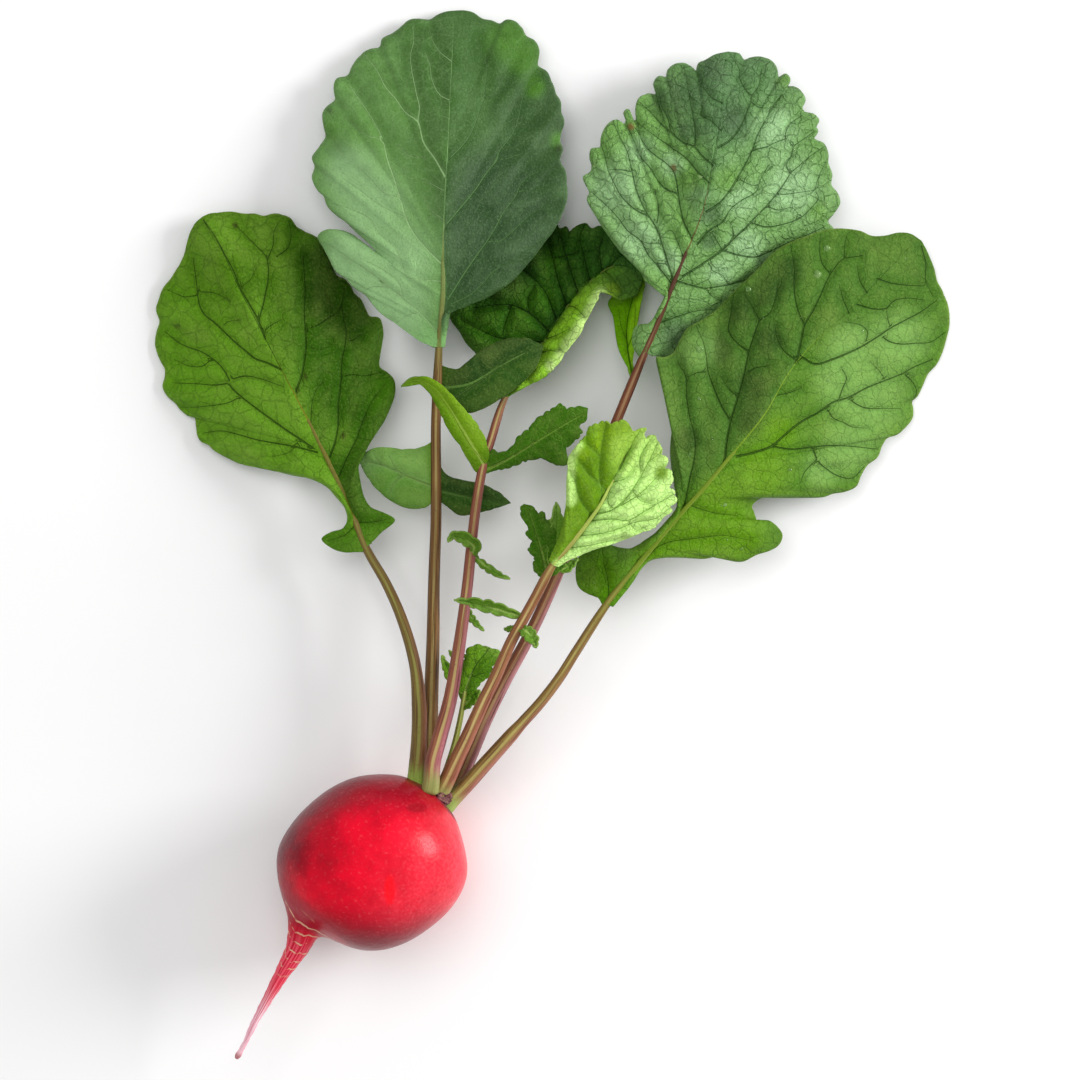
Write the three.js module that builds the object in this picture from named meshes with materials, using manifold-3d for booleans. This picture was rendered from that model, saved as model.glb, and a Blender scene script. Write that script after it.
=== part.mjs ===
// A fresh radish with its whole tuft of leaves, lying on a flat surface and seen from above.
// Millimetres, +Z up. The origin is the middle of the small flat spot that the bulb rests on.
import * as THREE from 'three';
import { mergeVertices } from 'three/addons/utils/BufferGeometryUtils.js';
import Module from 'manifold-3d';

const wasm = await Module();
wasm.setup();

// Driving dimensions. A place is given as [picture x, picture y, height]: the plan view is read
// off a 1080-pixel picture taken from straight above, and the height is in millimetres.
const PIXEL = 0.21;
const PICTURE_CENTRE = 540;
const REST_PIXEL = { x: 370, y: 863 };
const EYE_HEIGHT = 1300;
const FOCUS_HEIGHT = 15;
const BULB_RADIUS = 17.4;
const BULB_WIDENING = 0.08;
const BLADE_THICKNESS = 0.8;
const LEAFLET_THICKNESS = 0.7;
const GAP = 0.3;
const RIB_GAP = 0.5;
const STALK_RADIUS = 1.25;
const RIB_TIP_RADIUS = 0.5;
const SCALLOP_DEPTH = 0.9;

const GREEN = { mid: 0x638e2e, grey: 0x7da96d, dark: 0x355514, pale: 0x85b371, deep: 0x486929, lime: 0xa8cf6a };
const STALK = { brown: 0x755233, red: 0x72402f, olive: 0x7d8a45 };

// The root: its axis from crown to tail tip, and its radius at distances along that axis.
const ROOT_AXIS = [
  [443, 803, 15.6], [373, 863, 17.15], [308, 923, 18.8], [297, 948, 19.3], [281, 975, 19],
  [266, 1002, 18], [255, 1022, 17], [245, 1043, 15.6], [236, 1059, 14.6],
];
const ROOT_PROFILE = [
  [0, 0], [0, 3.4], [0.6, 5.4], [1.6, 7.5], [3.4, 10.3], [6, 13], [10, 15.7], [14.5, 17.1],
  [19.4, BULB_RADIUS], [24.5, 16.8], [29, 15.1], [32.5, 12.7], [35, 10.1], [36.6, 7.9], [37.7, 6.1],
  [38.8, 4.7], [40.2, 3.75], [42, 3.1], [44.5, 2.4], [48, 1.8], [52, 1.35], [58, 0.95], [63, 0.7],
  [68, 0.5], [70, 0.6], [70.6, 0],
];

// Each leaf: its stalk, then the midrib of its blade, then both margins. A margin's point starts
// with the share of the midrib, from 0 to 1, where the side vein that runs out to it begins.
const LEAVES = {
  left: {
    stalkColour: STALK.olive, bladeColour: GREEN.mid, scallops: 26, arch: 1.6, ruffle: 0.5,
    stalk: [
      [415, 791, 16.8], [416, 778, 16.6], [419, 740, 16.8], [419, 705, 16.8], [415, 665, 16.4],
      [403, 622, 15.2], [387, 585, 13], [373, 558, 11.4],
    ],
    rib: [
      [366, 548, 13], [350, 508, 12.5], [330, 465, 12], [308, 420, 12], [287, 380, 12],
      [265, 338, 11], [240, 290, 9.5], [222, 250, 7.5], [207, 225, 5.5],
    ],
    left: [
      [0, 362, 552, 13], [0.01, 345, 552, 11.5], [0.03, 321, 539, 10], [0.06, 340, 529, 11.5],
      [0.085, 347, 518, 12], [0.14, 337, 498, 12], [0.18, 320, 481, 11], [0.2, 295, 475, 8.5],
      [0.23, 258, 467, 5.5], [0.26, 222, 455, 3], [0.28, 200, 437, 1.8], [0.3, 186, 414, 1.2],
      [0.33, 170, 398, 1], [0.36, 163, 372, 0.9], [0.4, 156, 338, 0.9], [0.46, 156, 308, 1.1],
      [0.55, 168, 280, 1.6], [0.7, 184, 250, 2.5], [0.88, 192, 226, 3.5], [1, 201, 214, 4],
    ],
    right: [
      [0, 371, 543, 13], [0.02, 384, 529, 12.5], [0.04, 396, 520, 12], [0.07, 380, 511, 12.5],
      [0.085, 367, 506, 12.5], [0.11, 361, 488, 12.5], [0.14, 358, 468, 12.5], [0.16, 368, 443, 12],
      [0.18, 384, 416, 11], [0.2, 394, 390, 9.5], [0.215, 383, 366, 8], [0.235, 382, 335, 6],
      [0.255, 383, 310, 5], [0.28, 368, 285, 4.3], [0.32, 348, 262, 4], [0.38, 325, 242, 4],
      [0.46, 302, 228, 4], [0.58, 275, 213, 4], [0.76, 240, 212, 4], [1, 201, 214, 4],
    ],
  },
  top: {
    stalkColour: STALK.brown, bladeColour: GREEN.grey, scallops: 26, arch: 1.4, ruffle: 0.5,
    stalk: [
      [425, 791, 13.4], [429, 776, 12.6], [430, 740, 12], [431, 700, 11.8], [433, 640, 11.5],
      [434, 580, 11.5], [436, 520, 12], [436, 470, 12.8], [436, 420, 14], [437, 380, 14.8],
    ],
    rib: [
      [439, 347, 17], [441, 320, 18.5], [443, 290, 19.5], [443, 255, 20], [444, 220, 20],
      [446, 180, 19], [448, 140, 16.5], [450, 100, 13], [452, 60, 8.5], [454, 26, 4],
    ],
    left: [
      [0, 433, 347, 17], [0.015, 410, 334, 15.5], [0.03, 380, 311, 14], [0.05, 352, 283, 13],
      [0.075, 330, 258, 12], [0.1, 318, 236, 11.5], [0.115, 336, 230, 12], [0.13, 358, 240, 13],
      [0.15, 379, 256, 14.5], [0.165, 360, 232, 12.5], [0.18, 338, 214, 11], [0.195, 322, 195, 9.5],
      [0.215, 311, 170, 8], [0.23, 320, 145, 7], [0.25, 325, 115, 6], [0.28, 338, 82, 4.5],
      [0.34, 360, 58, 3.5], [0.44, 385, 38, 2.8], [0.58, 412, 22, 2.2], [0.78, 435, 14, 1.8],
      [1, 455, 11, 1.8],
    ],
    right: [
      [0, 445, 347, 17], [0.05, 447, 328, 18], [0.085, 453, 308, 18.3], [0.095, 485, 298, 17],
      [0.105, 512, 281, 16], [0.12, 534, 256, 15], [0.13, 550, 232, 14], [0.145, 564, 205, 12.5],
      [0.16, 567, 180, 11.5], [0.18, 560, 155, 10], [0.215, 563, 125, 8.5], [0.26, 558, 95, 7],
      [0.33, 545, 68, 5.5], [0.41, 538, 42, 4], [0.5, 517, 22, 3], [0.64, 490, 20, 2.2],
      [0.82, 470, 12, 1.8], [1, 455, 11, 1.8],
    ],
  },
  folded: {
    stalkColour: STALK.red, bladeColour: GREEN.dark, scallops: 16, arch: 0.6, ruffle: 0.5,
    stalk: [
      [429, 795, 20.4], [431, 785, 20.8], [433, 762, 21], [439, 740, 21], [450, 700, 21],
      [457, 660, 20.8], [463, 620, 20], [468, 580, 18.6], [472, 540, 17], [477, 500, 15.4],
      [484, 462, 14.8], [491, 440, 14], [497, 420, 12.6],
    ],
    rib: [
      [505, 398, 12.4], [524, 370, 11], [545, 340, 10], [568, 306, 9], [592, 280, 8],
      [614, 266, 7.5], [634, 268, 7],
    ],
    left: [
      [0, 499, 396, 12.2], [0.03, 485, 372, 9.5], [0.06, 477, 352, 8], [0.1, 462, 333, 6.5],
      [0.14, 449, 312, 5.5], [0.18, 455, 288, 4.5], [0.24, 475, 262, 4], [0.32, 502, 242, 4],
      [0.42, 530, 228, 4], [0.52, 556, 228, 4], [0.62, 580, 224, 4], [0.75, 603, 227, 4.5],
      [0.88, 625, 250, 5.5], [1, 643, 273, 7],
    ],
    right: [
      [0, 511, 394, 12.4], [0.1, 530, 383, 12.8], [0.25, 556, 364, 13.5], [0.4, 580, 336, 14],
      [0.55, 596, 310, 14], [0.68, 608, 296, 12.5], [0.8, 622, 300, 10], [0.9, 637, 294, 8],
      [1, 643, 273, 7],
    ],
  },
  crinkled: {
    stalkColour: STALK.red, bladeColour: GREEN.pale, scallops: 26, arch: 1, ruffle: 0.7,
    stalk: [
      [438, 806, 12.6], [452, 791, 12], [461, 775, 12.2], [470, 755, 12.6], [485, 720, 13.6],
      [505, 680, 14.4], [527, 640, 15.1], [555, 580, 15.6], [591, 485, 15.8], [617, 420, 15.8],
      [632, 382, 15.4],
    ],
    rib: [
      [645, 352, 17], [658, 322, 18], [670, 292, 19], [684, 258, 19.5], [697, 228, 20],
      [705, 198, 20], [711, 165, 18.5], [716, 130, 15.5], [720, 98, 12], [723, 68, 8.5],
    ],
    left: [
      [0, 640, 358, 16.5], [0.02, 633, 342, 15.5], [0.04, 636, 326, 15.5], [0.08, 650, 322, 17],
      [0.14, 660, 307, 18], [0.175, 666, 291, 18.5], [0.185, 655, 284, 17.5], [0.19, 641, 275, 16],
      [0.195, 622, 254, 15], [0.2, 603, 228, 14], [0.21, 590, 203, 13], [0.225, 585, 178, 12.5],
      [0.25, 592, 152, 12], [0.29, 606, 127, 11], [0.38, 632, 108, 10], [0.5, 655, 86, 9],
      [0.63, 678, 66, 8], [0.8, 704, 59, 7], [1, 731, 53, 6.5],
    ],
    right: [
      [0, 652, 356, 16.5], [0.02, 675, 356, 14], [0.05, 702, 345, 12], [0.09, 735, 325, 10.5],
      [0.13, 770, 303, 9], [0.18, 802, 276, 8.5], [0.22, 826, 248, 8], [0.27, 838, 215, 8],
      [0.31, 836, 185, 8], [0.35, 829, 155, 8], [0.39, 818, 125, 7.5], [0.44, 805, 100, 7],
      [0.52, 788, 80, 6.5], [0.66, 768, 62, 6], [0.82, 748, 57, 6], [1, 731, 53, 6.5],
    ],
  },
  right: {
    stalkColour: STALK.olive, bladeColour: GREEN.deep, scallops: 26, arch: 1.2, ruffle: 0.5,
    stalk: [
      [441, 813, 15.6], [454, 798, 15.6], [470, 781, 15.9], [487, 762, 16.3], [505, 742, 16.7],
      [523, 722, 17.1], [541, 702, 17.5], [560, 677, 17.7], [577, 650, 17.8], [591, 626, 17.7],
    ],
    rib: [
      [607, 604, 19.5], [628, 577, 20], [650, 550, 20.5], [675, 520, 21.5], [705, 483, 22.5],
      [737, 450, 23], [765, 415, 23], [790, 373, 22], [815, 345, 20], [845, 315, 16.5],
      [875, 283, 12], [905, 254, 7.5],
    ],
    left: [
      [0, 602, 604, 19], [0.01, 590, 594, 17.5], [0.03, 577, 578, 16.5], [0.06, 579, 556, 16.5],
      [0.09, 604, 546, 18], [0.12, 627, 550, 19.5], [0.16, 645, 542, 20.5], [0.2, 660, 525, 21],
      [0.23, 678, 506, 21], [0.24, 678, 485, 20], [0.245, 675, 452, 19], [0.25, 677, 412, 18.5],
      [0.255, 671, 378, 18.8], [0.265, 656, 357, 19], [0.275, 672, 348, 18], [0.29, 686, 329, 17.5],
      [0.32, 714, 314, 16.5], [0.37, 740, 288, 16.5], [0.45, 772, 260, 16], [0.56, 805, 238, 14.5],
      [0.68, 838, 229, 12.5], [0.8, 868, 235, 10], [0.92, 898, 234, 7], [1, 922, 242, 5],
    ],
    right: [
      [0, 613, 607, 19.5], [0.05, 630, 585, 19.5], [0.1, 647, 564, 19], [0.12, 668, 557, 17],
      [0.14, 702, 558, 14], [0.16, 738, 561, 11], [0.185, 768, 549, 9.5], [0.21, 782, 535, 9.5],
      [0.235, 765, 521, 11], [0.26, 752, 507, 13], [0.28, 768, 496, 12], [0.3, 805, 496, 9],
      [0.32, 845, 491, 6], [0.345, 868, 462, 4.5], [0.37, 885, 437, 3.5], [0.39, 910, 420, 2],
      [0.42, 921, 392, 1.2], [0.47, 940, 357, 0.9], [0.57, 949, 325, 0.8], [0.72, 940, 292, 1.2],
      [0.86, 931, 262, 2.5], [1, 922, 242, 5],
    ],
  },
  young: {
    stalkColour: STALK.red, bladeColour: GREEN.lime, scallops: 15, arch: 1.2, ruffle: 0.6,
    stalk: [
      [434, 803, 17.6], [443, 788, 18.4], [456, 761, 20.5], [466, 740, 22], [475, 720, 23.2],
      [484, 700, 24.2], [494, 680, 25.1], [503, 660, 25.9], [512, 640, 26.6], [523, 620, 27.3],
      [534, 600, 27.8], [545, 580, 28.1],
    ],
    rib: [
      [553, 565, 30], [569, 546, 30.5], [585, 526, 31], [600, 505, 31.5], [611, 484, 31.5],
      [621, 465, 31], [631, 446, 30],
    ],
    left: [
      [0, 549, 560, 30], [0.05, 562, 532, 31], [0.12, 566, 508, 33], [0.2, 567, 485, 34.5],
      [0.3, 568, 462, 35], [0.42, 574, 444, 35], [0.58, 588, 428, 34], [0.75, 604, 420, 33],
      [0.9, 621, 421, 31.5], [1, 633, 430, 30],
    ],
    right: [
      [0, 558, 567, 30], [0.05, 575, 556, 29.5], [0.12, 602, 545, 29], [0.2, 632, 537, 28.5],
      [0.28, 655, 525, 28.5], [0.37, 673, 508, 28.5], [0.46, 676, 488, 28.5], [0.56, 672, 468, 28.5],
      [0.68, 663, 450, 29], [0.82, 655, 436, 29.5], [0.92, 643, 428, 30], [1, 633, 430, 30],
    ],
  },
};

// Small leaflets that stand along the stalks: a midrib, the widest half-width, and how far the
// blade is rolled about its midrib. Each grows from the leaf stalk that it is listed under.
const LEAFLETS = {
  folded: [
    { rib: [[484, 468, 14.9], [474, 448, 17.5], [460, 424, 19.5], [447, 403, 20.4], [434, 387, 20.6],
      [418, 380, 19.8], [404, 385, 18.8]], half: 2.1, roll: 0.5 },
    { rib: [[484, 468, 15], [503, 463, 15.9], [528, 451, 16.4], [556, 436, 16.6], [587, 411, 16.4]],
      half: 6, roll: 0.15 },
    { rib: [[472, 555, 17.6], [474, 546, 20.2], [465, 539, 21], [453, 536, 20.4], [448, 542, 19.6]],
      half: 1.6, roll: 0.5 },
    { rib: [[471, 553, 17.4], [484, 565, 17.6], [498, 574, 17], [510, 579, 16]], half: 0.9, roll: 0.3 },
    { rib: [[464, 602, 19.3], [471, 617, 19.2], [484, 631, 18]], half: 0.8, roll: 0.3 },
  ],
  crinkled: [
    { rib: [[633, 381, 15], [631, 360, 12.5], [628, 340, 9.5], [627, 320, 6.6], [632, 300, 4], [637, 284, 3]],
      half: 2.9, roll: -0.4 },
  ],
  young: [
    { rib: [[522, 619, 27.2], [503, 612, 27.6], [482, 606, 27.2], [464, 602, 26.6], [454, 600, 26]],
      half: 1.5, roll: 0.3 },
    { rib: [[519, 626, 27], [527, 632, 28.2], [534, 640, 27.4], [536, 648, 26.4]], half: 1.4, roll: 0.2 },
    { rib: [[518, 628, 27], [510, 629, 26.3], [504, 629, 25.8]], half: 0.7, roll: 0 },
    { rib: [[546, 577, 28], [539, 550, 28.2], [533, 528, 28], [527, 508, 27.2]], half: 2.2, roll: 0.2 },
    { rib: [[551, 566, 28], [554, 545, 28], [557, 520, 27.8], [556, 502, 27.6]], half: 1.7, roll: 0.2 },
    { rib: [[554, 568, 27.8], [566, 570, 27.6], [578, 560, 27.4]], half: 1.1, roll: 0.2 },
  ],
};

// Lobes of the top leaf that stand on its stalk below the main blade, with both margins given.
const TOP_LOBES = [
  {
    rib: [[436, 488, 12.4], [410, 477, 11.5], [385, 466, 10.5], [367, 461, 9.5]],
    left: [[0, 434, 501, 12.3], [0.1, 424, 508, 11], [0.3, 404, 507, 10], [0.55, 383, 495, 9.5],
      [0.8, 368, 478, 9.3], [1, 360, 463, 9.3]],
    right: [[0, 434, 440, 13.3], [0.08, 424, 446, 13], [0.25, 405, 449, 12], [0.55, 382, 447, 11],
      [0.8, 367, 451, 10], [1, 360, 463, 9.3]],
  },
  {
    rib: [[436, 490, 12.4], [462, 496, 12], [485, 500, 11.3], [500, 502, 10.8]],
    left: [[0, 438, 462, 12.9], [0.1, 446, 474, 12.6], [0.3, 462, 480, 12.2], [0.6, 482, 484, 11.8],
      [0.85, 500, 493, 11], [1, 511, 505, 10.3]],
    right: [[0, 437, 499, 12.2], [0.1, 447, 506, 11.8], [0.3, 460, 516, 11.2], [0.6, 480, 512, 11],
      [0.85, 497, 508, 10.7], [1, 511, 505, 10.3]],
  },
  {
    rib: [[437, 388, 14.7], [468, 384, 15.8], [500, 365, 16], [530, 350, 15.3]],
    left: [[0, 439, 364, 14.9], [0.1, 456, 368, 15.9], [0.2, 467, 364, 16.2], [0.4, 482, 351, 16.2],
      [0.65, 503, 340, 16], [0.9, 526, 338, 15.6], [1, 544, 346, 15]],
    right: [[0, 437, 398, 14.5], [0.1, 455, 404, 15.2], [0.25, 470, 414, 15.5], [0.45, 492, 405, 15.6],
      [0.75, 516, 390, 15.5], [0.92, 535, 371, 15.3], [1, 544, 346, 15]],
  },
];

// The smallest leaf, curled up in the middle of the tuft: a thin stalk with crisp little leaflets.
const HEART_STALK = [[432, 801, 14.8], [441, 784, 14.9], [453, 750, 15.8], [461, 715, 16.4], [465, 690, 16.8]];
const HEART_LEAFLETS = [
  { rib: [[464, 696, 16.6], [470, 675, 17.2], [476, 655, 17.4], [480, 643, 17]], half: 2, roll: 0.4 },
  { rib: [[465, 690, 16.8], [478, 672, 17], [489, 658, 17], [499, 650, 16.5]], half: 2.2, roll: -0.4 },
  { rib: [[463, 698, 16.5], [473, 690, 17], [484, 684, 16.8]], half: 1.5, roll: 0.5 },
  { rib: [[464, 694, 16.7], [452, 678, 16.8], [445, 663, 16.3], [442, 655, 16]], half: 1.2, roll: -0.3 },
  { rib: [[465, 688, 16.7], [458, 666, 16.4], [449, 650, 15.8]], half: 1, roll: 0.3 },
];

const ROOT_SIDES = 26;
const STALK_SIDES = 7;
const STALK_STEPS = 26;
const BLADE_COLUMNS = 3;
const LEAFLET_ROWS = 7;
const LEAFLET_COLUMNS = 1;

const UP = new THREE.Vector3(0, 0, 1);

// Where a picture point at a given height lies, with what is nearer the eye looking larger.
function place([px, py, height]) {
  const shrink = (EYE_HEIGHT - height) / (EYE_HEIGHT - FOCUS_HEIGHT);
  const x = PICTURE_CENTRE - REST_PIXEL.x + (px - PICTURE_CENTRE) * shrink;
  const y = REST_PIXEL.y - PICTURE_CENTRE + (PICTURE_CENTRE - py) * shrink;
  return new THREE.Vector3(x * PIXEL, y * PIXEL, height);
}

function curveThrough(points) {
  return new THREE.CatmullRomCurve3(points.map(place), false, 'centripetal');
}

// The value at x of a line drawn through [x, value] pairs.
function readOff(pairs, x) {
  const next = pairs.findIndex(([at]) => at >= x);
  if (next <= 0) return next === 0 ? pairs[0][1] : pairs.at(-1)[1];
  const [[x0, y0], [x1, y1]] = [pairs[next - 1], pairs[next]];
  return y0 + (y1 - y0) * (x - x0) / (x1 - x0);
}

// Moves a shape that stands on the y axis so that it follows a curve, y running from 0 to 1.
function followCurve(geometry, curve) {
  const spots = geometry.attributes.position;
  for (let i = 0; i < spots.count; i++) {
    const share = THREE.MathUtils.clamp(spots.getY(i), 0, 1);
    const ahead = curve.getTangentAt(share);
    const aside = ahead.clone().cross(UP).normalize();
    const above = aside.clone().cross(ahead);
    const spot = curve.getPointAt(share)
      .addScaledVector(aside, spots.getX(i)).addScaledVector(above, spots.getZ(i));
    spots.setXYZ(i, spot.x, spot.y, spot.z);
  }
  return geometry;
}

// A round rod along a curve, whose radius is read off [share of length, radius] pairs.
function rod(curve, radii, sides = STALK_SIDES, steps = STALK_STEPS) {
  const geometry = new THREE.CylinderGeometry(1, 1, 1, sides, steps).translate(0, 0.5, 0);
  const spots = geometry.attributes.position;
  for (let i = 0; i < spots.count; i++) {
    const radius = readOff(radii, spots.getY(i));
    spots.setX(i, spots.getX(i) * radius);
    spots.setZ(i, spots.getZ(i) * radius);
  }
  return followCurve(geometry, curve);
}

function toSolid(geometry) {
  const bare = geometry.clone();
  bare.deleteAttribute('normal');
  bare.deleteAttribute('uv');
  const merged = mergeVertices(bare, 1e-4);
  return new wasm.Manifold(new wasm.Mesh({
    numProp: 3,
    vertProperties: new Float32Array(merged.attributes.position.array),
    triVerts: new Uint32Array(merged.index.array),
  }));
}

function toGeometry(solid) {
  const mesh = solid.getMesh();
  const geometry = new THREE.BufferGeometry();
  geometry.setAttribute('position', new THREE.BufferAttribute(mesh.vertProperties, mesh.numProp));
  geometry.setIndex(new THREE.BufferAttribute(mesh.triVerts, 1));
  geometry.computeVertexNormals();
  return geometry;
}

// One margin of a leaf: the point that the side vein starting at a share of the midrib runs to.
function marginOf(side) {
  const curve = curveThrough(side.map(([, ...point]) => point));
  const knots = side.map(([share], index) => [share, index / (side.length - 1)]);
  return (share) => curve.getPoint(readOff(knots, share));
}

// Shares of the midrib at which rows start, so that rows are evenly spread along both margins.
function rowShares(left, right, rows) {
  const fine = 1500;
  const run = [[0, 0]];
  for (let i = 1; i <= fine; i++) {
    const [now, before] = [i / fine, (i - 1) / fine];
    const step = left(now).distanceTo(left(before)) + right(now).distanceTo(right(before));
    run.push([run.at(-1)[0] + step, now]);
  }
  const whole = run.at(-1)[0];
  return Array.from({ length: rows + 1 }, (_, row) => readOff(run, whole * row / rows));
}

// A thin leaf surface: rows run from one margin over the midrib to the other. The edge is
// scalloped, each half is arched between midrib and margin, and the margin waves up and down.
function leafSurface({ rib, left, right, rows, columns, scallop, arch, ruffle }) {
  const ribCurve = curveThrough(rib);
  const margins = [marginOf(left), marginOf(right)];
  const corners = [];
  rowShares(...margins, rows).forEach((share, row) => {
    const start = ribCurve.getPointAt(share);
    const ends = Math.sin(Math.PI * row / rows);
    for (let column = -columns; column <= columns; column++) {
      const out = Math.abs(column) / columns;
      const margin = margins[column < 0 ? 0 : 1](share);
      const reach = margin.clone().sub(start);
      const bump = scallop * (row % 2 - 1) * Math.min(1, 3 * ends) / reach.length();
      const spot = start.clone().addScaledVector(reach, out + bump * out * out);
      spot.z += arch * Math.sin(Math.PI * out) * ends;
      spot.z += ruffle * out * out * Math.sin(row * 0.9 + column) * ends;
      corners.push(spot);
    }
  });
  return gridSheet(corners, rows, 2 * columns);
}

function gridSheet(corners, rows, columns) {
  const index = [];
  for (let row = 0; row < rows; row++) {
    for (let column = 0; column < columns; column++) {
      const corner = row * (columns + 1) + column;
      const above = corner + columns + 1;
      index.push(corner, corner + 1, above + 1, corner, above + 1, above);
    }
  }
  const sheet = new THREE.BufferGeometry().setFromPoints(corners);
  sheet.setIndex(index);
  return mergeVertices(sheet, 1e-3);
}

// Gives a surface its thickness: both faces keep the same triangles, and a rim joins them.
function thicken(sheet, thickness) {
  const triangles = [];
  const at = sheet.index.array;
  for (let i = 0; i < at.length; i += 3) {
    const [a, b, c] = [at[i], at[i + 1], at[i + 2]];
    if (a !== b && b !== c && c !== a) triangles.push([a, b, c]);
  }
  sheet.setIndex(triangles.flat());
  sheet.computeVertexNormals();
  const { position, normal } = sheet.attributes;
  const facesUp = Array.from({ length: normal.count }, (_, i) => normal.getZ(i))
    .reduce((sum, z) => sum + z, 0) > 0;
  const spots = [];
  for (const side of [1, -1]) {
    for (let i = 0; i < position.count; i++) {
      const spot = new THREE.Vector3().fromBufferAttribute(position, i);
      const lift = new THREE.Vector3().fromBufferAttribute(normal, i);
      spots.push(spot.addScaledVector(lift, side * (facesUp ? 1 : -1) * thickness / 2));
    }
  }
  const count = position.count;
  const upper = facesUp ? triangles : triangles.map(([a, b, c]) => [a, c, b]);
  const open = new Map();
  for (const corners of upper) {
    corners.forEach((from, i) => {
      const to = corners[(i + 1) % 3];
      if (!open.delete(`${to},${from}`)) open.set(`${from},${to}`, [from, to]);
    });
  }
  const index = upper.flat();
  for (const [a, b, c] of upper) index.push(a + count, c + count, b + count);
  for (const [from, to] of open.values()) {
    index.push(from, from + count, to + count, from, to + count, to);
  }
  const solid = new THREE.BufferGeometry().setFromPoints(spots);
  solid.setIndex(index);
  return solid;
}

function blade(leaf) {
  const surface = leafSurface({
    ...leaf, rows: 2 * leaf.scallops, columns: BLADE_COLUMNS, scallop: SCALLOP_DEPTH,
  });
  return thicken(surface, BLADE_THICKNESS);
}

function lobe({ rib, left, right }) {
  const surface = leafSurface({
    rib, left, right, rows: 14, columns: 2, scallop: 0.4, arch: 0.3, ruffle: 0,
  });
  return thicken(surface, BLADE_THICKNESS);
}

// A pointed leaflet with notched edges: its half-width swells and fades along its midrib.
function leaflet({ rib, half, roll }) {
  const curve = curveThrough(rib);
  const corners = [];
  for (let row = 0; row <= LEAFLET_ROWS; row++) {
    const share = row / LEAFLET_ROWS;
    const ahead = curve.getTangentAt(share);
    const aside = ahead.clone().cross(UP).normalize().applyAxisAngle(ahead, roll);
    const swell = Math.sin(Math.PI * (0.12 + 0.8 * share)) * (row % 2 ? 1 : 0.78);
    for (let column = -LEAFLET_COLUMNS; column <= LEAFLET_COLUMNS; column++) {
      const spot = curve.getPointAt(share).addScaledVector(aside, half * swell * column);
      spot.z += 0.12 * half * Math.abs(column);
      corners.push(spot);
    }
  }
  return thicken(gridSheet(corners, LEAFLET_ROWS, 2 * LEAFLET_COLUMNS), LEAFLET_THICKNESS);
}

// A leaf stalk, which runs on below the blade as its midrib.
function stalkRod({ stalk, rib }) {
  const drop = BLADE_THICKNESS / 2 + RIB_GAP;
  const ribRadius = (i) => THREE.MathUtils.lerp(STALK_RADIUS * 0.9, RIB_TIP_RADIUS, i / (rib.length - 1));
  const lowered = rib.slice(0, -1).map(([px, py, height], i) => [px, py, height - drop - ribRadius(i)]);
  const curve = curveThrough([...stalk, ...lowered]);
  const stalkShare = curveThrough(stalk).getLength() / curve.getLength();
  return rod(curve, [
    [0, STALK_RADIUS], [stalkShare * 0.5, STALK_RADIUS * 0.95], [stalkShare, STALK_RADIUS * 0.9],
    [1, RIB_TIP_RADIUS],
  ]);
}

// The root: bulb, crown and tail in one, its radius grown by a clearance where asked.
function rootSolid(clearance = 0) {
  const length = ROOT_PROFILE.at(-1)[0];
  const curve = curveThrough(ROOT_AXIS);
  const outline = ROOT_PROFILE.map(([along, radius], i) => {
    const ends = i === 0 || i === ROOT_PROFILE.length - 1;
    return new THREE.Vector2(ends ? 0 : radius + clearance, along / length);
  });
  const shape = new THREE.LatheGeometry(outline, ROOT_SIDES);
  const spots = shape.attributes.position;
  const alongs = Array.from({ length: spots.count }, (_, i) => spots.getY(i) * length);
  followCurve(shape, curve);
  for (const [i, along] of alongs.entries()) {
    const bulb = THREE.MathUtils.smoothstep(along, 0, 8) * (1 - THREE.MathUtils.smoothstep(along, 30, 38));
    spots.setX(i, spots.getX(i) * (1 + BULB_WIDENING * bulb));
  }
  const solid = toSolid(shape);
  const floor = new THREE.BoxGeometry(60, 60, 10).translate(0, 0, -5 - clearance);
  return solid.subtract(toSolid(floor));
}

function mesh(name, geometry, colour, roughness = 0.6) {
  const material = new THREE.MeshStandardMaterial({ color: colour, roughness, metalness: 0 });
  const part = new THREE.Mesh(geometry, material);
  part.name = name;
  return part;
}

function fuse(geometries) {
  return geometries.map(toSolid).reduce((whole, piece) => whole.add(piece));
}

const radish = new THREE.Group();
const rootSpace = rootSolid(GAP);

radish.add(mesh('root', toGeometry(rootSolid()), 0xc41c30, 0.35));
for (const [name, leaf] of Object.entries(LEAVES)) {
  const small = (LEAFLETS[name] ?? []).map(leaflet);
  const lobes = name === 'top' ? TOP_LOBES.map(lobe) : [];
  const stalk = fuse([stalkRod(leaf), ...small, ...lobes]).subtract(rootSpace);
  radish.add(mesh(`${name}_leaf_stalk`, toGeometry(stalk), leaf.stalkColour));
  radish.add(mesh(`${name}_leaf_blade`, blade(leaf), leaf.bladeColour));
}
const heartRod = rod(curveThrough(HEART_STALK), [[0, 0.8], [1, 0.6]], STALK_SIDES, 10);
const heart = fuse([heartRod, ...HEART_LEAFLETS.map(leaflet)]).subtract(rootSpace);
radish.add(mesh('heart_leaf', toGeometry(heart), GREEN.mid));

export default radish;
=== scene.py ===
import math

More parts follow.
